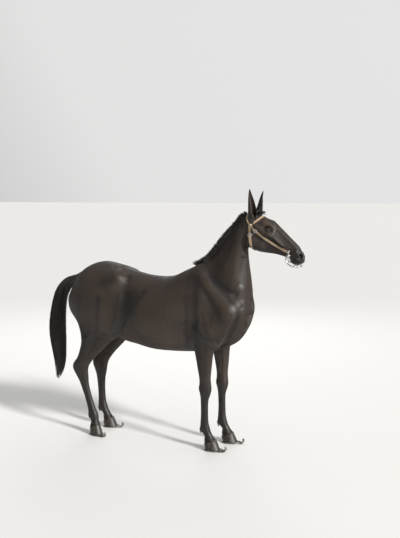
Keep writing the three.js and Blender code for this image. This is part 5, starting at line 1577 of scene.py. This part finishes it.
def lid_surface(eye):
    """From the opening's edge on the ball outwards: a thick edge, a ball-shaped lid, then a slow fall
    to the skin. Heights run along the line of sight."""
    turn = np.linspace(0, 2 * np.pi, LID_COLUMNS, endpoint=False)
    cos, sin = np.cos(turn), np.sin(turn)
    high = np.where(sin > 0, LID_HIGH_UP * np.abs(sin) ** 1.2, -LID_HIGH_DOWN * np.abs(sin) ** 1.3)
    inner = side_by_side(LID_LONG * cos, high - 2.0 * np.maximum(cos, 0) ** 3)
    outer = side_by_side(LID_REACH[0] * cos + 2 * cos, LID_REACH[1] * sin + 2 * sin)
    share = np.linspace(0, 1, LID_ROWS)[:, None] + 0 * turn
    flat = inner + (outer - inner) * share[..., None] ** 1.15
    radius = np.linalg.norm(flat, axis=-1)
    centre, axes = eye["centre"], eye["axes"]
    edge = np.sqrt(np.maximum((EYE_RADIUS + 0.2) ** 2 - radius ** 2, 4))
    hull = np.sqrt(np.maximum((EYE_RADIUS + 2.7) ** 2 - radius ** 2, 64))
    level = centre + flat @ axes[:2]
    depth = np.full(radius.shape, 40.0)
    for _ in range(16):
        here = (level + depth[..., None] * axes[2]).reshape(-1, 3)
        depth = depth - 0.8 * shell_distance(here).reshape(depth.shape)
    depth = depth + relief((level + depth[..., None] * axes[2]).reshape(-1, 3)).reshape(depth.shape)
    height = edge + (hull - edge) * step_up(share, 0, 0.06)
    height = height + (depth - height) * step_up(share, 0.05, 0.75)
    above, below = step_up(sin, -0.1, 0.3), step_up(-sin, 0.1, 0.5)
    height = height - 1.7 * bell(share, 0.27, 0.035) * above - 0.9 * bell(share, 0.46, 0.04) * above
    height = height + 0.8 * bell(share, 0.36, 0.06) * above
    height = height - 1.3 * bell(share, 0.3, 0.035) * below - 0.7 * bell(share, 0.48, 0.04) * below
    height = height - 1.5 * step_up(share, 0.85, 1)
    points = level + height[..., None] * axes[2]
    return points.reshape(-1, 3), closed_grid(LID_ROWS, LID_COLUMNS)[:, ::-eye["side"]], share.ravel()


# %% Lashes, and the lids as objects


def lash_bundle(vertices, eye, count=70):
    """Lashes from the upper lid's edge, out and down and then curled up."""
    ring = vertices.reshape(LID_ROWS, LID_COLUMNS, 3)[4]
    place = random.uniform(0.06, 0.44, count) * LID_COLUMNS
    low = place.astype(int)
    roots = ring[low] + (ring[low + 1] - ring[low]) * (place - low)[:, None]
    ahead, up, look = eye["axes"]
    fan = np.cos(2 * np.pi * place / LID_COLUMNS)[:, None] * 0.6 * ahead
    f = np.linspace(0, 1, 6)[None, :, None]
    out = unit(look + fan - 0.25 * up + random.normal(0, 0.08, (count, 3)))
    curl = out[:, None] * f + 0.45 * up * (f ** 2 - 0.3 * f)
    paths = roots[:, None] + 15 * random.uniform(0.7, 1.1, (count, 1, 1)) * curl
    facing = np.broadcast_to(up, paths.shape)
    return paths, facing, np.full(count, 0.8), np.full(count, 0.6), 3


lid_hair, lashes = [], []
for eye_name, eye in EYES.items():
    vertices, faces, share = lid_surface(eye)
    lids = mesh_piece(eye_name + "_lids", vertices, faces)
    add_value(lids, "tone", tone_of(vertices) * step_up(share, 0.06, 0.22) + 0.05)
    finish_piece(lids, lid_material, "coat")
    lid_triangles = triangles_of(faces)
    normals = vertex_normals(vertices, lid_triangles)
    haired = lid_triangles[share[lid_triangles].min(axis=1) > 0.1]
    lid_hair.append(scattered(vertices, normals, haired, 1.7, 4000))
    lashes.append(lash_bundle(vertices, eye))
roots, normals = (np.concatenate(parts) for parts in zip(*lid_hair))
length = random.uniform(3.6, 5.6, len(roots))
coat_piece("coat_lids", roots, normals, lie_of(roots, normals), length, 0.14 * length + 0.3, 0.03 * length,
           tone_of(roots) + random.normal(0, 0.07, len(roots)), hug=False)
lock_piece("lashes", lashes)
print("eyes made,", len(roots), "tufts on the lids")

# %% [markdown]
# ## Hooves and shoes
#
# A hoof is a grid: rings of the ground outline and of the coronet, joined by straight walls, with fine
# growth rings. The shoe is a flat iron plate, open at the heels, whose long toe curls up. The horn of
# the two chestnuts, inside the forearms, is made with the feet.

# %% Horn and iron
horn_material, horn_shader = new_material("horn", Roughness=0.42, Specular_IOR_Level=0.4)
horn_colour = ramp(
    noise(horn_material, 60.0, (1, 1, 0.15), 5.0), (0.3, (0.014, 0.0115, 0.01)),
    (0.55, (0.034, 0.028, 0.022)), (0.8, (0.075, 0.06, 0.048)))
feed(horn_shader, Base_Color=horn_colour)
horn_rings = noise(horn_material, 30.0, (0.2, 0.2, 6.0), 3.0)
horn_fibres = math("MULTIPLY", noise(horn_material, 700.0, (1, 1, 0.1), 2.0), 0.3)
bump(horn_shader, math("ADD", horn_rings, horn_fibres), 0.5, 0.0012)

iron_material, iron_shader = new_material("worn iron", Metallic=0.85, Specular_IOR_Level=0.5)
iron_noise = noise(iron_material, 45.0, (1, 1, 1), 8.0)
iron_colour = ramp(
    iron_noise, (0.35, (0.07, 0.05, 0.04)), (0.5, (0.16, 0.15, 0.145)), (0.7, (0.33, 0.32, 0.31)))
iron_rough = grey_ramp(iron_noise, (0.3, 0.75), (0.7, 0.4))
feed(iron_shader, Base_Color=iron_colour, Roughness=iron_rough)
bump(iron_shader, noise(iron_material, 260.0, (1, 1, 1), 5.0), 0.4, 0.0008)

# %% Hooves
SHOE_THICK, GAP, TOE_CURL = 9.0, 0.3, 24.0


def foot_place(name, points):
    """Points of a foot's own frame, toe ahead, set under their limb."""
    side, _, _, toe_out, axis = LIMBS[name]
    turn = side * np.radians(toe_out)
    cos, sin = np.cos(turn), np.sin(turn)
    x, y, z = np.moveaxis(points, -1, 0)
    foot_x, foot_y = axis[-1][1] + FOOT_AHEAD, side * axis[-1][2]
    return side_by_side(foot_x + cos * x - sin * y, foot_y + sin * x + cos * y, z)


def hoof_rings(c, s):
    """The ground outline, longer at the toe and wider at the heels, and the sloping coronet above it."""
    toe, heel, wide = 64, 56, 52
    coronet_long, coronet_wide = 49, 43
    low = side_by_side(np.where(c > 0, toe * c, heel * c), wide * s * (1 - 0.12 * c ** 3), SHOE_THICK + GAP)
    ahead = coronet_long * c
    return low, side_by_side(CORONET_BACK + ahead, coronet_wide * s, CORONET_HEIGHT + CORONET_TILT * ahead)


def hoof_mesh(name, rows=36, columns_=96):
    """Each level is a share of the way from the ground ring to the coronet ring."""
    size = LIMBS[name][2]
    f, a = dial(rows, columns_)
    c, s = np.cos(a), np.sin(a)
    ground, top = hoof_rings(c, s)
    points = ground + (top - ground) * f[..., None]
    ripple = 0.15 * np.sin(f * 46 + 0.6 * c) * step_up(f, 0.1, 0.3)
    ripple = ripple + 1.2 * bell(f, 0.93, 0.05) - 1.6 * step_up(f, 0.97, 1)
    heel = -2.5 * bell(a, np.pi, 0.22) * (1 - f)
    points[..., 0] += (ripple + heel) * c
    points[..., 1] += (ripple + heel) * s
    points[..., :2] *= size
    low = points[:1] * [0.02, 0.02, 1]
    high = 0 * low + points[-1].mean(axis=0) * [1, 0, 1] - [0, 0, 3]
    points = np.concatenate([low, points, high])
    return foot_place(name, points).reshape(-1, 3), closed_grid(rows + 2, columns_)


# %% Shoes and nails
SHOE_PLAN = [  # ahead of the foot's middle, whole width
    (-60, 70), (-44, 94), (-20, 106), (8, 108), (34, 98), (58, 76), (76, 56), (94, 46),
]
SHOE_SECTION = np.array([  # share of the width, share of the thickness, with the nail groove on top
    (0, 0), (0.5, 0), (0.94, 0), (1, 0.12), (1, 0.8), (0.96, 1), (0.82, 1), (0.8, 0.78), (0.6, 0.78),
    (0.58, 1), (0, 1),
])
SHOE_STEPS, CURL_STEPS, SLOT = 40, 16, 14


def shoe_mesh(name, mirror):
    """One half of the shoe: a section from the slot to the outer edge, carried from heel to curled toe."""
    size = LIMBS[name][2]
    heel_x, toe_x = SHOE_PLAN[0][0], SHOE_PLAN[-1][0]
    x_flat, curl = np.linspace(heel_x, toe_x, SHOE_STEPS), np.linspace(0.12, 2.4, CURL_STEPS)
    turn = np.concatenate([0 * x_flat, curl])
    width = np.concatenate([columns(SHOE_PLAN)[0](x_flat) * size, SHOE_PLAN[-1][1] - 9 * curl]) / 2
    round_end = np.sqrt(np.maximum(SLOT ** 2 - x_flat ** 2, 0))
    slot = np.concatenate([np.where(x_flat < 0, SLOT - x_flat / 15, round_end), 0 * curl])
    x = np.concatenate([x_flat * size, toe_x * size + TOE_CURL * np.sin(curl)])
    z = TOE_CURL * (1 - np.cos(turn))
    thick = SHOE_THICK * (1 - 0.16 * turn)
    across, up = SHOE_SECTION.T
    y = slot[:, None] + (width - slot)[:, None] * across
    lift = thick[:, None] * up
    x = x[:, None] - lift * np.sin(turn)[:, None]
    z = z[:, None] + lift * np.cos(turn)[:, None]
    points = side_by_side(x, mirror * y, z)
    first, last = (end.mean(axis=1, keepdims=True) + 0 * end for end in (points[:1], points[-1:]))
    points = np.concatenate([first, points, last])
    faces = closed_grid(len(points), len(SHOE_SECTION))
    return foot_place(name, points).reshape(-1, 3), faces if mirror > 0 else faces[:, ::-1]


NAIL_TURNS, NAIL_LEVEL = (0.75, 1.1, 1.45, -0.75, -1.1, -1.45), 0.3


def nail_mesh(name, rows=5, columns_=10):
    """Three clenched nail ends on each side of the wall, each a flat rounded button."""
    size = LIMBS[name][2]
    nails = []
    for turn in NAIL_TURNS:
        c, s = np.cos(turn), np.sin(turn)
        ground, top = hoof_rings(c, s)
        ground = ground - [0, 0, GAP]
        middle = (ground + (top - ground) * NAIL_LEVEL) * [size, size, 1]
        out, rise = unit(np.array([c, s, 0.3])), unit(top - ground)
        across = np.cross(out, rise)
        f, a = dial(rows, columns_, 0, np.pi / 2)
        wide, high = 3.2 * np.cos(f) * np.cos(a), 2.6 * np.cos(f) * np.sin(a)
        disc = middle + wide[..., None] * across + high[..., None] * rise
        disc = disc + (np.sin(f) - 0.2)[..., None] * out
        nails.append((foot_place(name, disc).reshape(-1, 3), closed_grid(rows, columns_)))
    return joined(*nails)


# %% Buttons, and the feet as objects


def button(centre, out, along, radius, height, oval=1.0, rows=12, columns_=32):
    """A turned button: a rim, a step and a rounded middle."""
    up = np.cross(out, along) * oval
    f, a = dial(rows, columns_)
    r = radius * np.interp(f, [0, 0.15, 0.3, 0.4, 1], [1, 1, 0.8, 0.72, 0])
    h = height * np.interp(f, [0, 0.15, 0.3, 0.4, 0.6, 0.85, 1], [-0.5, 0.2, 0.25, 0.45, 0.85, 1.02, 1.05])
    points = centre + (r * np.cos(a))[..., None] * along + (r * np.sin(a))[..., None] * up
    return (points + h[..., None] * out).reshape(-1, 3), closed_grid(rows, columns_)


CHESTNUT_HEIGHT = 588.0


def chestnut_mesh(name):
    """The flat oval of horn on the inside of the forearm, a little above the knee."""
    axis_x, axis_y = limb_axis(name)
    side, outline, _, _, _ = LIMBS[name]
    half = columns(outline)[2]
    z = np.array([CHESTNUT_HEIGHT])
    inside = side_by_side(axis_x(z) - 6, axis_y(z) - side * half(z), z)
    place = onto_skin(inside, COAT_DEPTH * 0.2)
    out = body_normal(place)[0]
    along = unit(np.cross([0, 0, 1], out))
    return button(place[0], out, along, 8, 3.4, 1.9)


for limb_name in LIMBS:
    end, side_name = limb_name.split("_")
    whole_piece(f"hoof_{limb_name}", hoof_mesh(limb_name), horn_material, "hoof", f"{end}_hoof_{side_name}")
    shoe = mesh_piece(f"shoe_{limb_name}", *joined(shoe_mesh(limb_name, 1), shoe_mesh(limb_name, -1)))
    shoe.data.set_sharp_from_angle(angle=np.radians(35))
    finish_piece(shoe, iron_material, "shoe", f"{end}_shoe_{side_name}")
    whole_piece(f"nails_{limb_name}", nail_mesh(limb_name), iron_material, "shoe")
chestnuts = joined(*[chestnut_mesh(name) for name in ("fore_right", "fore_left")])
whole_piece("chestnuts", chestnuts, horn_material, "hoof")

# %% [markdown]
# ## The bridle
#
# Five light straps lie on the head: over the poll, across the brow, down each cheek to the bit, and
# under the throat. Each is a flat band with rounded edges, swept along a line that is drawn onto the
# skin, so that it bends with the head. Buckles and keepers sit where a saddler would put them.

# %% Leather and steel
leather_material, leather_shader = new_material("light leather", Specular_IOR_Level=0.4, Sheen_Weight=0.05)
strap_parts = parted(uv_places(leather_material, "strap"))
pores = noise(leather_material, 240.0, (1, 1, 1), 6.0)
wear = noise(leather_material, 22.0, (1, 1, 1), 4.0)
leather_colour = ramp(wear, (0.3, (0.16, 0.1, 0.055)), (0.52, (0.32, 0.22, 0.13)), (0.75, (0.46, 0.35, 0.23)))


def apart(value, middle):
    """How far a value is from a middle."""
    return math("ABSOLUTE", math("SUBTRACT", value, middle))


STITCH_ROW, STITCHES_PER_METRE = 0.34, 200.0
edge = apart(strap_parts["Y"], 0.5)
edge_mask = ramp(edge, (0.40, (1, 1, 1)), (0.47, (0.35, 0.28, 0.22)))
stitch_row = grey_ramp(apart(edge, STITCH_ROW), (0.02, 1), (0.04, 0))
stitch_count = math("MULTIPLY", strap_parts["X"], STITCHES_PER_METRE)
stitch_dash = grey_ramp(math("FRACT", stitch_count), (0.6, 1), (0.68, 0))
stitch = math("MULTIPLY", stitch_row, stitch_dash)
worn = mixed(1.0, leather_colour, edge_mask, "MULTIPLY")
feed(leather_shader, Base_Color=mixed(stitch, worn, (0.72, 0.66, 0.54, 1)),
     Roughness=grey_ramp(wear, (0.3, 0.62), (0.7, 0.45)))
bump(leather_shader, math("ADD", pores, math("MULTIPLY", stitch, 1.5)), 0.45, 0.0007)

steel_material, steel_shader = new_material("used steel", Metallic=1.0)
steel_noise = noise(steel_material, 90.0, (1, 1, 1), 6.0)
steel_colour = ramp(steel_noise, (0.35, (0.34, 0.33, 0.32)), (0.6, (0.58, 0.57, 0.55)))
steel_rough = grey_ramp(steel_noise, (0.35, 0.46), (0.65, 0.24))
feed(steel_shader, Base_Color=steel_colour, Roughness=steel_rough)
bump(steel_shader, noise(steel_material, 500.0, (1, 1, 1), 3.0), 0.15, 0.0004)

# %% Bands and rods swept along paths


def resampled(points, count):
    """Evenly spaced points along a smooth curve through the given ones."""
    points = np.asarray(points, float)
    steps = np.r_[0, np.cumsum(np.linalg.norm(np.diff(points, axis=0), axis=1))]
    fine = np.linspace(0, steps[-1], 6 * count)
    curve = np.stack([through(steps, points[:, k])(fine) for k in range(3)], axis=1)
    run = np.r_[0, np.cumsum(np.linalg.norm(np.diff(curve, axis=0), axis=1))]
    even = np.linspace(0, run[-1], count)
    return np.stack([np.interp(even, run, curve[:, k]) for k in range(3)], axis=1)


def swept(path, up, profile, closed=False):
    """A profile carried along a path: its first coordinate lies across, its second along the given up."""
    step = np.roll(path, -1, axis=0) - np.roll(path, 1, axis=0) if closed else np.gradient(path, axis=0)
    along = unit(step)
    across = unit(np.cross(np.broadcast_to(up, path.shape), along))
    out = np.cross(along, across)
    points = path[:, None] + across[:, None] * profile[None, :, :1] + out[:, None] * profile[None, :, 1:]
    sides = len(profile)
    if closed:
        faces = closed_grid(len(path) + 1, sides) % (len(path) * sides)
        return points.reshape(-1, 3), faces
    first, last = path[:1, None] + 0 * points[:1], path[-1:, None] + 0 * points[-1:]
    points = np.concatenate([first, points, last])
    return points.reshape(-1, 3), closed_grid(len(points), sides)


SECTION_SIDES = 20


def squared_turn(count, power_cos, power_sin):
    """Cosine and sine once round, each raised to a power; a small one squares the oval."""
    a = 2 * np.pi * np.arange(count) / count
    c, s = np.cos(a), np.sin(a)
    return np.sign(c) * np.abs(c) ** power_cos, np.sign(s) * np.abs(s) ** power_sin


def rounded(half_wide, half_thick, sides=SECTION_SIDES, square=0.35):
    """A flat oval section whose ends are squarer than its faces."""
    c, s = squared_turn(sides, square, 0.7)
    return side_by_side(half_wide * c, half_thick * s)


# %% The five straps
STRAP_WIDTH, STRAP_THICK = 19.0, 4.0
CHEEK_LINE = [  # along the head, out from the middle, up from the face line
    (46, 79, -68), (118, 86, -90), (195, 78, -102), (275, 60, -104), (345, 50, -104), (396, 49, -97),
]


def mirror_line(half):
    """A line from the left side over the midline to the right side."""
    return [(u, -y, v) for u, y, v in half[::-1]][:-1] + list(half)


STRAPS = {
    "crown_strap": mirror_line([(-32, 0, -6), (-22, 40, -24), (10, 66, -52), (50, 80, -72)]),
    "browband": mirror_line([(90, 0, 32), (84, 40, 22), (74, 68, -14), (52, 79, -66)]),
    "throat_strap": mirror_line([
        (160, 0, -240), (152, 44, -228), (122, 74, -182), (82, 84, -128), (44, 79, -76)]),
    "cheek_strap_right": [(u, -y, v) for u, y, v in CHEEK_LINE],
    "cheek_strap_left": CHEEK_LINE,
}
STRAP_HEIGHT = {  # above the coat, so that straps that cross lie on one another
    "crown_strap": 4.2, "browband": 3.0, "throat_strap": 2.4, "cheek_strap_right": 3.4,
    "cheek_strap_left": 3.4,
}


def strap_path(name, count=90):
    """The strap's middle line, drawn onto the skin and lifted above the coat."""
    line = resampled(onto_skin(head_points(STRAPS[name]), COAT_DEPTH), count)
    line = onto_skin(line, COAT_DEPTH + STRAP_HEIGHT[name] - 2, rounds=4)
    ups = np.pad(body_normal(line), ((3, 3), (0, 0)), mode="edge")
    return line, unit(np.stack([np.convolve(way, np.ones(7) / 7, mode="valid") for way in ups.T], axis=1))


for strap_name in STRAPS:
    line, ups = strap_path(strap_name)
    vertices, faces = swept(line, ups, rounded(STRAP_WIDTH / 2, STRAP_THICK / 2))
    strap = mesh_piece(strap_name + "_leather", vertices, faces)
    run = np.r_[0, np.cumsum(np.linalg.norm(np.diff(line, axis=0), axis=1))] * MM
    run = np.r_[run[0], run, run[-1]]
    around = rounded(0.5, 0.5)[:, 0] + 0.5
    add_uv(strap, "strap", side_by_side(np.repeat(run, SECTION_SIDES), np.tile(around, len(run))))
    finish_piece(strap, leather_material, "strap", strap_name)

# %% Buckles and keepers
CIRCLE = rounded(1, 1, 10, 1.0)


def loop(centre, along, up, half_long, half_wide, section, square=0.6, count=36):
    """A rounded rectangle in the plane of its length and the way across, with a section round it."""
    p, q = squared_turn(count, square, square)
    path = centre + half_long * p[:, None] * along + half_wide * q[:, None] * np.cross(up, along)
    return swept(path, up, section, closed=True)


def on_strap(name, share):
    """The strap's middle at a share of its length, the way it runs there, and the way up."""
    line, ups = strap_path(name)
    i = int(share * (len(line) - 1))
    along, up = unit(line[i + 1] - line[i - 1]), ups[i]
    return line[i], unit(along - up * (along @ up)), up


def buckle(name, share):
    """A frame round the strap, with a tongue along it."""
    middle, along, up = on_strap(name, share)
    centre = middle + up * 2.4
    frame_part = loop(centre, along, up, 13, 14, CIRCLE * 2.1)
    ends = centre + up * 1.6 + np.linspace(-13, 13, 8)[:, None] * along
    tongue = swept(ends, np.cross(up, along), CIRCLE * 1.5)
    return joined(frame_part, tongue)


def keeper(name, share):
    """A narrow leather loop round the strap."""
    middle, along, up = on_strap(name, share)
    across = np.cross(up, along)
    return loop(middle + up * 0.4, across, np.cross(across, up), STRAP_WIDTH / 2 + 1.4, 3.2,
                rounded(1.1, 3.6), square=0.45)


BUCKLES = [  # which strap, and the share of its length
    ("cheek_strap_right", 0.2), ("cheek_strap_left", 0.2), ("throat_strap", 0.84), ("throat_strap", 0.16),
]
KEEPERS = [
    ("cheek_strap_right", 0.3), ("cheek_strap_left", 0.3), ("cheek_strap_right", 0.93),
    ("cheek_strap_left", 0.93), ("throat_strap", 0.76), ("throat_strap", 0.24), ("browband", 0.1),
    ("browband", 0.9),
]
metal = [buckle(*place) for place in BUCKLES]
rosettes = []
for side in (-1, 1):
    place = onto_skin(head_points([(50, side * 80, -71)]), COAT_DEPTH + 3.5)
    out = body_normal(place)[0]
    along = unit(np.cross(out, HEAD_AXES[2]))
    rosettes.append(button(place[0], out, along, 15, 4.5))
    metal.append(button(place[0] + 4 * out, out, along, 6, 3.5))
whole_piece("bridle_buckles", joined(*metal), steel_material, "bit")
keepers = mesh_piece("bridle_keepers", *joined(*[keeper(*place) for place in KEEPERS], *rosettes))
add_uv(keepers, "strap", np.zeros((len(keepers.data.vertices), 2)) + [0, 0.5])
finish_piece(keepers, leather_material, "strap")

# %% [markdown]
# ## The curb bit
#
# On each side an S-shaped steel cheek leaves the corner of the mouth, swings below the chin and ends
# in a ring. A domed boss covers the mouthpiece's end. A chain of twisted links runs behind the chin.

# %% Bit cheeks, bosses and chain
BIT_CORNER = head_points([(425, 52, -117)])[0]
SHANK = [(2, 26), (0, 0), (-15, -24), (-6, -50), (18, -70), (44, -78), (60, -66)]  # ahead, up
SHANK_STEPS = 60


def bit_cheek(side):
    """One cheek of the bit: the bent bar, a ring at each end, and the boss over the mouthpiece's end."""
    out, along = np.array([0, side, 0.0]), np.array([1.0, 0, 0])
    corner = BIT_CORNER * [1, side, 1]
    path = resampled([corner + [x, side * (2 + i), z] for i, (x, z) in enumerate(SHANK)], SHANK_STEPS)
    share = np.linspace(0, 1, SHANK_STEPS)
    thick = 4.4 + 1.2 * np.sin(np.pi * share) - 0.8 * share
    shank = swept(path, out, CIRCLE)
    rings = np.r_[thick[0], thick, thick[-1]].repeat(len(CIRCLE))[:, None]
    spine = np.r_[path[:1], path, path[-1:]].repeat(len(CIRCLE), axis=0)
    shank = (spine + (shank[0] - spine) * rings, shank[1])
    ring = loop(path[-1] + [6, 0, -8], along, out, 11, 11, CIRCLE * 2.6, square=1.0)
    upper = loop(path[0] + [0, 0, 4], along, out, 10, 10, CIRCLE * 2.4, square=1.0)
    boss = button(corner + 4 * out, out, along, 15, 6)
    knob = button(path[0] + out * 2, out, along, 4, 3)
    return joined(shank, ring, upper, boss, knob)


for side, side_name in ((-1, "right"), (1, "left")):
    whole_piece("bit_" + side_name, bit_cheek(side), steel_material, "bit", "bit_cheek_" + side_name)


def chain_mesh(links=13):
    """Oval links along a hanging line, each turned a quarter from the last."""
    x, y, z = BIT_CORNER
    drop = resampled([(x - 4, -(y - 9), z - 22), (x - 2, -30, z - 42), (x + 2, 0, z - 50),
                      (x - 2, 30, z - 42), (x - 4, y - 9, z - 22)], links * 2 + 1)
    made = []
    for i in range(links):
        along = unit(drop[2 * i + 2] - drop[2 * i])
        aside = unit(np.cross(along, [1, 0, 0.2]))
        up = aside if i % 2 else np.cross(along, aside)
        made.append(loop(drop[2 * i + 1], along, up, 7.2, 4.6, CIRCLE * 1.5, square=0.9, count=20))
    return joined(*made)


whole_piece("chin_chain", chain_mesh(), steel_material, "bit", "curb_chain")
print("bridle and bit made")

# %% [markdown]
# ## Floor and light
#
# A plain pale floor and studio light: a soft key from ahead and above on the near side, where the
# picture's light comes from, a weak window lamp beside it, and a rim lamp from behind on the far side.
# The surroundings are grey, and lighter ahead, on the far side and above.

# %% Floor and lamps
floor_mesh = bpy.data.meshes.new("floor")
FLOOR_HALF = 200
floor_corners = [(FLOOR_HALF * x, FLOOR_HALF * y, 0) for x, y in ((-1, -1), (1, -1), (1, 1), (-1, 1))]
floor_mesh.from_pydata(floor_corners, [], [(0, 1, 2, 3)])
floor = bpy.data.objects.new("floor", floor_mesh)
bpy.context.scene.collection.objects.link(floor)
floor_material, _ = new_material("pale floor", Roughness=0.8, Base_Color=(0.6, 0.595, 0.585, 1))
floor_mesh.materials.append(floor_material)


def area_light(name, place, target, size, power):
    """A round lamp at a place, turned towards a target."""
    data = bpy.data.lights.new(name, "AREA")
    data.shape, data.size, data.energy = "DISK", size, power
    lamp = bpy.data.objects.new(name, data)
    lamp.location = place
    lamp.rotation_euler = (Vector(target) - Vector(place)).to_track_quat("-Z", "Y").to_euler()
    bpy.context.scene.collection.objects.link(lamp)


sun = bpy.data.objects.new("key", bpy.data.lights.new("key", "SUN"))
sun.data.energy, sun.data.angle, sun.data.color = 4.9, 0.16, (1, 0.985, 0.96)
sun.rotation_euler = Vector((1.0, -0.38, 0.6)).to_track_quat("Z", "Y").to_euler()
bpy.context.scene.collection.objects.link(sun)
area_light("window", (4.4, -4.3, 3.3), (0.9, 0, 1.6), 2.6, 36)
area_light("rim", (-2.5, 5.5, 4.5), (0, 0, 1.2), 3.0, 110)

# %% The surroundings
world = bpy.data.worlds.new("studio")
world.use_nodes = True
sky = parted(node(world.node_tree, "ShaderNodeTexCoord").outputs["Generated"])
sky_x, sky_y, sky_z = (math("MULTIPLY", sky[axis], share) for axis, share in zip("XYZ", (0.22, 0.28, 0.2)))
sky_share = math("ADD", math("ADD", math("ADD", sky_x, sky_y), sky_z), 0.5)
sky_grey = ramp(
    sky_share, (0.15, (0.18, 0.18, 0.185)), (0.45, (0.33, 0.33, 0.33)), (0.64, (0.76, 0.76, 0.755)),
    (0.9, (0.8, 0.8, 0.8)))
feed(world.node_tree.nodes["Background"], Color=sky_grey)
bpy.context.scene.world = world
bpy.context.scene.view_settings.view_transform = "Standard"
print(len(bpy.data.lights), "lamps")
